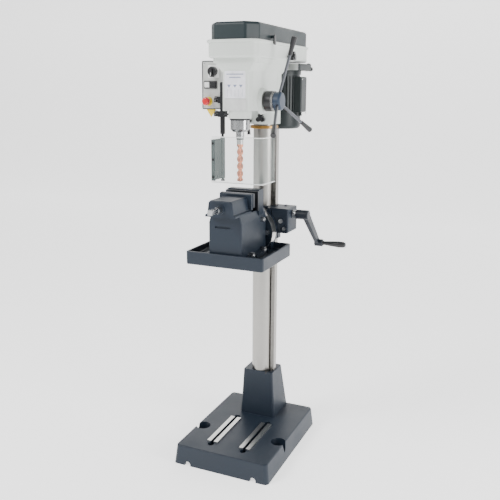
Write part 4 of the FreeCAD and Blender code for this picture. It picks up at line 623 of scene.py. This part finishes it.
class DRILLPRESS_OT_cover(bpy.types.Operator):
    """Dark textured paint on the belt cover."""
    bl_idname = "drillpress.cover"
    bl_label = "Belt cover"

    def execute(self, context):
        tints = context.scene.drill_press_colours
        cover = painted("cover_paint", tints.cover, COVER_WORN, wear=0.25, dull=0.4,
                        mottle=0.06, peel=700.0, bump=0.2)
        finish_nodes(cover, "belt_cover")
        return {"FINISHED"}


class DRILLPRESS_OT_motor(bpy.types.Operator):
    """Dark satin paint on the motor, its cowl, box and plate, and bare metal on its pulley."""
    bl_idname = "drillpress.motor"
    bl_label = "Motor and pulleys"

    def execute(self, context):
        tints = context.scene.drill_press_colours
        paint = painted("motor_paint", tints.motor, MOTOR_WORN, wear=0.35, dull=0.4)
        finish_nodes(paint, "motor_body", "motor_fan_cowl", "motor_terminal_box",
                     "motor_rotor_and_fan")

        def rods(tree):
            return math_node(tree, "LESS_THAN", axis_value(tree, "Y"), GUIDE_ROD_BACK)

        plate = painted("motor_plate_paint", tints.motor, MOTOR_WORN, wear=0.35,
                        extra=bare_metal_where(rods, GUIDE_ROD))
        finish_nodes(plate, "motor_plate")
        finish_nodes(steel("turned_aluminium", ALUMINIUM, (20.0, 20.0, 900.0), 0.34),
                     "spindle_pulley", "motor_pulley")
        finish_nodes(plastic("belt_rubber", BELT_RUBBER, dull=0.7, grain=1400.0),
                     "drive_belt")
        return {"FINISHED"}


class DRILLPRESS_OT_steels(bpy.types.Operator):
    """Ground, plated and dark steel, brass, and the two-colour drill."""
    bl_idname = "drillpress.steels"
    bl_label = "Steel parts"

    def execute(self, context):
        tints = context.scene.drill_press_colours
        upright = steel("steel_upright", tints.steel, (5.0, 5.0, 520.0), dull=0.33, contrast=0.08)
        finish_nodes(upright, "column")
        finish_nodes(steel("steel_rack", tints.steel, (400.0, 400.0, 20.0), dull=0.36), "rack")
        finish_nodes(steel("steel_quill", tints.plated, (10.0, 10.0, 800.0), dull=0.22), "quill")

        def nose_collar(tree):
            return math_node(tree, "LESS_THAN", axis_value(tree, "Z"), NOSE_COLLAR_TOP)

        finish_nodes(steel("steel_spindle", tints.plated, (10.0, 10.0, 800.0), dull=0.26,
                           extra=tinted_where(nose_collar, NOSE_COLLAR)), "spindle")
        finish_nodes(steel("steel_spring", tints.plated, (10.0, 400.0, 400.0), dull=0.3),
                     "return_spring", "quill_bearings")
        plated = steel("steel_plated", tints.plated, (160.0, 160.0, 160.0), dull=0.3, contrast=0.1)
        finish_nodes(plated, "socket_bolts", "hinge_pins", "bracket_bolts", "tilt_bolts",
                     "vise_bolts", "lift_pinion", "feed_pinion")
        finish_nodes(steel("steel_screw", tints.plated, (20.0, 620.0, 20.0), dull=0.24), "vise_screw")
        finish_nodes(steel("steel_handles", tints.dark_steel, (120.0, 120.0, 120.0), dull=0.32),
                     "handle_rods")
        finish_nodes(steel("steel_jaws", JAW_STEEL, (300.0, 20.0, 300.0), dull=0.42),
                     "fixed_jaw_plate", "moving_jaw_plate")
        finish_nodes(steel("steel_brass", tints.brass, (20.0, 20.0, 600.0), dull=0.3),
                     "column_ring")

        def shank(tree):
            return math_node(tree, "GREATER_THAN", axis_value(tree, "Z"), DRILL_SHANK_FOOT)

        finish_nodes(steel("steel_drill", tints.drill, (60.0, 60.0, 500.0), dull=0.3,
                           extra=tinted_where(shank, DRILL_SHANK)), "drill_bit")
        return {"FINISHED"}


class DRILLPRESS_OT_plastics(bpy.types.Operator):
    """Black knobs and grips, the hub, the guard's bar and clamps, and the depth marks."""
    bl_idname = "drillpress.plastics"
    bl_label = "Knobs, grips and hub"

    def execute(self, context):
        tints = context.scene.drill_press_colours
        knob = plastic("black_knob", tints.plastic, dull=0.32, grain=600.0, coat=0.1)
        finish_nodes(knob, "head_lock_knob", "head_lock_lever", "tension_screw_knob",
                     "tension_lock_knob", "lower_clamp_knob", "upper_clamp_knob", "handle_grips",
                     "crank_grip", "switch_knob", "stop_button", "cover_latch")
        finish_nodes(painted("hub_paint", tints.hub, HUB_WORN, wear=0.3, dull=0.35),
                     "feed_hub")

        def depth_marks(tree):
            side = math_node(tree, "SUBTRACT", axis_value(tree, "Y"), FEED_AXIS_Y)
            up = math_node(tree, "SUBTRACT", axis_value(tree, "Z"), FEED_AXIS_Z)
            turn = math_node(tree, "ARCTAN2", side, up)
            step = math_node(tree, "MULTIPLY", turn, DEPTH_MARK_COUNT / (2 * math.pi))
            step = math_node(tree, "FRACT", step)
            line = math_node(tree, "LESS_THAN", step, DEPTH_MARK_SHARE)
            band = math_node(tree, "GREATER_THAN", axis_value(tree, "X"), DEPTH_BAND_X)
            return math_node(tree, "MULTIPLY", line, band)

        finish_nodes(plastic("depth_scale", tints.plastic, dull=0.35,
                             extra=tinted_where(depth_marks, DEPTH_MARK)),
                     "depth_collar")
        black = painted("guard_black", GUARD_BLACK, GUARD_WORN, wear=0.4, dull=0.36)
        finish_nodes(black, "guard_clamp", "guard_bar", "guard_screws")
        return {"FINISHED"}


class DRILLPRESS_OT_controls(bpy.types.Operator):
    """The switch box: dark frame, light panel, white and yellow trim and the buttons."""
    bl_idname = "drillpress.controls"
    bl_label = "Switch box"

    def execute(self, context):
        tints = context.scene.drill_press_colours
        finish_nodes(plastic("box_frame", BOX_FRAME, dull=0.45), "switch_box_shell")
        finish_nodes(plastic("box_panel", tints.panel, dull=0.42, grain=1200.0), "switch_panel")

        def dark_and_yellow(tree, shader, colour_out, rough_out):
            height = axis_value(tree, "Z")
            dark_mask = between(tree, height, YELLOW_TOP, BUTTON_FRAME_TOP)
            yellow_mask = math_node(tree, "LESS_THAN", height, YELLOW_TOP)
            tint = mixed(tree, dark_mask, colour_out, BUTTON_FRAME)
            return mixed(tree, yellow_mask, tint, tints.yellow), rough_out

        finish_nodes(plastic("control_trim", tints.white, dull=0.38, extra=dark_and_yellow),
                     "control_trim")
        finish_nodes(plastic("start_white", tints.white, dull=0.3, coat=0.3), "start_button")
        finish_nodes(plastic("stop_red", tints.red, dull=0.22, coat=0.6), "estop_button")
        return {"FINISHED"}


class DRILLPRESS_OT_guard(bpy.types.Operator):
    """The clear guard with whitened cut edges, and its dark side plate."""
    bl_idname = "drillpress.guard"
    bl_label = "Guard"

    def execute(self, context):
        material, tree, shader = plain_material("clear_sheet")
        low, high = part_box("guard_shield")
        height = axis_value(tree, "Z")
        foot = math_node(tree, "LESS_THAN", height, low[2] + CUT_EDGE_WIDTH)
        top = math_node(tree, "GREATER_THAN", height, high[2] - CUT_EDGE_WIDTH)
        lips = math_node(tree, "ADD", foot, top, clamp=True)
        scuffs = remapped(tree, noise(tree, own_place(tree), 9.0, 5.0, 0.7), 0.5, 0.75, 0.0, 0.05)
        cloudy = math_node(tree, "ADD", math_node(tree, "MULTIPLY", lips, 0.65), scuffs)
        tree.links.new(math_node(tree, "ADD", cloudy, 0.10, clamp=True), shader.inputs["Alpha"])
        tree.links.new(mixed(tree, lips, CLEAR_SHEET, CUT_EDGE),
                       shader.inputs["Base Color"])
        rough = remapped(tree, noise(tree, own_place(tree), 40.0, 3.0, 0.6), 0.3, 0.7, 0.07, 0.16)
        tree.links.new(rough, shader.inputs["Roughness"])
        shader.inputs["IOR"].default_value = 1.49
        shader.inputs["Specular IOR Level"].default_value = 0.6
        finish_nodes(material, "guard_shield")
        plate = painted("guard_plate", SIDE_PLATE, SIDE_PLATE_WORN, wear=0.3, dull=0.45)
        finish_nodes(plate, "guard_side_plate")
        return {"FINISHED"}


# ---- operators: small pieces --------------------------------------------------------------


class DRILLPRESS_OT_plates(bpy.types.Operator):
    """The speed label with plain marks, and the plain plate below it, on the head's front."""
    bl_idname = "drillpress.plates"
    bl_label = "Label and plate"

    def execute(self, context):
        sizes = context.scene.drill_press_plates
        tints = context.scene.drill_press_colours
        front = sizes.face
        white = plastic("label_white", LABEL_WHITE, dull=0.32, grain=1500.0)
        ink = plastic("label_ink", tints.label_ink, dull=0.4)
        grey = plastic("plate_grey", PLATE_GREY, dull=0.36)
        face = front - sizes.label_thick
        wide = sizes.label_half * 0.86
        wedge_top = sizes.label_low + (sizes.label_high - sizes.label_low) * 0.50
        wedge_half = 0.0072
        line_half = 0.0003
        line_low = sizes.label_low + 0.006
        line_high = sizes.label_low + 0.032
        bar_pitch = 0.011
        bar_half_tall = 0.0016

        def mark(work, outline, edge):
            add_sheet(work, outline, face + 0.0001, face - 0.0002, edge, index=1)

        def label(work):
            add_sheet(work, rounded_outline((-sizes.label_half, sizes.label_low),
                                            (sizes.label_half, sizes.label_high), sizes.corner),
                      front + SUNK, face, 0.0003)
            for column in range(3):
                middle = wide * (column - 1) * 0.66
                mark(work, ((middle - wedge_half, wedge_top),
                            (middle, wedge_top - wedge_half * 1.5),
                            (middle + wedge_half, wedge_top)), 0.0001)
            for line in range(5):
                across = wide * (line - 2) * 0.42
                mark(work, bar_outline((across - line_half, line_low),
                                       (across + line_half, line_high)), 0.00005)
            for row in range(2):
                height = sizes.label_high - bar_pitch - row * bar_pitch
                half = wide * (0.94 - 0.3 * row)
                mark(work, bar_outline((-half, height - bar_half_tall),
                                       (half, height + bar_half_tall)), 0.0001)

        def plate(work):
            add_sheet(work, rounded_outline((-sizes.plate_half, sizes.plate_low),
                                            (sizes.plate_half, sizes.plate_high), sizes.corner),
                      front + SUNK, front - sizes.plate_thick, 0.0006)

        piece_from("speed_label", label, (white, ink), "root")
        piece_from("lower_plate", plate, (grey,), "root")
        return {"FINISHED"}


class DRILLPRESS_OT_screws(bpy.types.Operator):
    """Button-head screws on the switch panel and the motor's terminal box."""
    bl_idname = "drillpress.screws"
    bl_label = "Panel screws"

    def execute(self, context):
        tints = context.scene.drill_press_colours
        plated = steel("screw_plated", tints.plated, (300.0, 300.0, 300.0), dull=0.28)
        low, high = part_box("switch_panel")
        panel_inset = 0.008
        box_low, box_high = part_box("motor_terminal_box")
        box_inset = 0.010

        def panel(work):
            for x in (low[0] + panel_inset, high[0] - panel_inset):
                for z in (low[2] + panel_inset, high[2] - panel_inset):
                    add_turned(work, screw_profile(0.0032, 0.0016), (x, low[1] + SUNK, z),
                               (0, -1, 0))

        def terminal(work):
            for y in (box_low[1] + box_inset, box_high[1] - box_inset):
                for z in (box_low[2] + box_inset, box_high[2] - box_inset):
                    add_turned(work, screw_profile(0.0036, 0.002), (box_high[0] - SUNK, y, z),
                               (1, 0, 0))

        piece_from("panel_screws", panel, (plated,), "root")
        piece_from("terminal_screws", terminal, (plated,), "motor")
        return {"FINISHED"}


class DRILLPRESS_OT_pointer(bpy.types.Operator):
    """The white line on the selector knob."""
    bl_idname = "drillpress.pointer"
    bl_label = "Selector pointer"

    def execute(self, context):
        tints = context.scene.drill_press_colours
        white = plastic("pointer_white", tints.white, dull=0.35)
        low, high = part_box("switch_knob")
        middle = (low[0] + high[0]) / 2
        half = 0.0011
        outline = bar_outline((middle - half, low[2] + 0.004), (middle + half, low[2] + 0.016))

        def pointer(work):
            add_sheet(work, outline, low[1] + 0.0004, low[1] - 0.0003, 0.0002)

        piece_from("selector_pointer", pointer, (white,), "selector")
        return {"FINISHED"}


# ---- operators: stage ---------------------------------------------------------------------


class DRILLPRESS_OT_stage(bpy.types.Operator):
    """A pale floor that sweeps up behind, soft lights and the camera."""
    bl_idname = "drillpress.stage"
    bl_label = "Floor, lights and camera"

    def execute(self, context):
        sizes = context.scene.drill_press_stage
        pale, tree, shader = plain_material("pale_floor")
        spots = noise(tree, own_place(tree), 3.0, 3.0, 0.5)
        tint = mixed(tree, spots, (0.90, 0.90, 0.90, 1.0), (0.92, 0.92, 0.92, 1.0))
        tree.links.new(tint, shader.inputs["Base Color"])
        shader.inputs["Roughness"].default_value = 0.75
        shader.inputs["Emission Color"].default_value = (1.0, 1.0, 1.0, 1.0)
        shader.inputs["Emission Strength"].default_value = 1.3
        shader.inputs["Specular IOR Level"].default_value = 0.1

        mesh = bpy.data.meshes.new("floor_sweep")
        work = bmesh.new()
        profile = [(-sizes.floor_half, 0.0), (sizes.floor_back, 0.0)]
        for step in range(1, SWEEP_STEPS + 1):
            angle = math.radians(90 * step / SWEEP_STEPS)
            profile.append((sizes.floor_back + SWEEP_RADIUS * math.sin(angle),
                            SWEEP_RADIUS * (1 - math.cos(angle))))
        profile.append((sizes.floor_back + SWEEP_RADIUS, WALL_TOP))
        rows = [[work.verts.new((side * sizes.floor_half, y, z)) for side in (-1, 1)]
                for y, z in profile]
        for first, second in zip(rows, rows[1:]):
            face = work.faces.new((first[0], first[1], second[1], second[0]))
            face.smooth = True
        work.to_mesh(mesh)
        work.free()
        mesh.materials.append(pale)
        floor = bpy.data.objects.new("floor_sweep", mesh)
        context.scene.collection.objects.link(floor)

        world = bpy.data.worlds.new("studio")
        world.use_nodes = True
        back = world.node_tree.nodes["Background"]
        back.inputs["Color"].default_value = (1.0, 1.0, 1.0, 1.0)
        back.inputs["Strength"].default_value = 0.5
        context.scene.world = world

        def soft_light(name, place, aim, wide, power):
            light = bpy.data.lights.new(name, "AREA")
            light.shape = "DISK"
            light.size = wide
            light.energy = power
            lamp = bpy.data.objects.new(name, light)
            lamp.location = place
            lamp.rotation_euler = (Vector(aim) - Vector(place)).to_track_quat("-Z", "Y").to_euler()
            context.scene.collection.objects.link(lamp)

        soft_light("key_light", (-2.2, -2.6, 3.4), (0, 0, 0.9), 2.0, sizes.light_power)
        soft_light("side_light", (3.4, -0.4, 1.7), (0, 0, 1.0), 1.8, sizes.light_power * 0.6)

        camera_data = bpy.data.cameras.new("camera")
        camera_data.lens = sizes.lens
        camera_data.sensor_width = 36.0
        camera = bpy.data.objects.new("camera", camera_data)
        camera.location = sizes.camera_place
        camera.rotation_euler = sizes.camera_turn
        context.scene.collection.objects.link(camera)
        context.scene.camera = camera
        return {"FINISHED"}


class DRILLPRESS_PT_finishes(bpy.types.Panel):
    """Lists the finishes and pieces."""
    bl_idname = "DRILLPRESS_PT_finishes"
    bl_label = "Drill Press"
    bl_space_type = "VIEW_3D"
    bl_region_type = "UI"
    bl_category = "Drill Press"

    def draw(self, context):
        column = self.layout.column(align=True)
        for operator in OPERATORS:
            column.operator(operator.bl_idname)


OPERATORS = (
    DRILLPRESS_OT_castings, DRILLPRESS_OT_head, DRILLPRESS_OT_cover, DRILLPRESS_OT_motor,
    DRILLPRESS_OT_steels, DRILLPRESS_OT_plastics, DRILLPRESS_OT_controls, DRILLPRESS_OT_guard,
    DRILLPRESS_OT_plates, DRILLPRESS_OT_screws, DRILLPRESS_OT_pointer, DRILLPRESS_OT_stage,
)
SETTINGS = (DrillPressColours, DrillPressPlates, DrillPressStage)


def register():
    for item in SETTINGS + OPERATORS + (DRILLPRESS_PT_finishes,):
        bpy.utils.register_class(item)
    scene = bpy.types.Scene
    scene.drill_press_colours = bpy.props.PointerProperty(type=DrillPressColours)
    scene.drill_press_plates = bpy.props.PointerProperty(type=DrillPressPlates)
    scene.drill_press_stage = bpy.props.PointerProperty(type=DrillPressStage)


def unregister():
    scene = bpy.types.Scene
    del scene.drill_press_colours
    del scene.drill_press_plates
    del scene.drill_press_stage
    for item in reversed(SETTINGS + OPERATORS + (DRILLPRESS_PT_finishes,)):
        bpy.utils.unregister_class(item)


def main():
    register()
    bpy.ops.drillpress.castings()
    bpy.ops.drillpress.head()
    bpy.ops.drillpress.cover()
    bpy.ops.drillpress.motor()
    bpy.ops.drillpress.steels()
    bpy.ops.drillpress.plastics()
    bpy.ops.drillpress.controls()
    bpy.ops.drillpress.guard()
    bpy.ops.drillpress.plates()
    bpy.ops.drillpress.screws()
    bpy.ops.drillpress.pointer()
    bpy.ops.drillpress.stage()


if __name__ == "__main__":
    main()
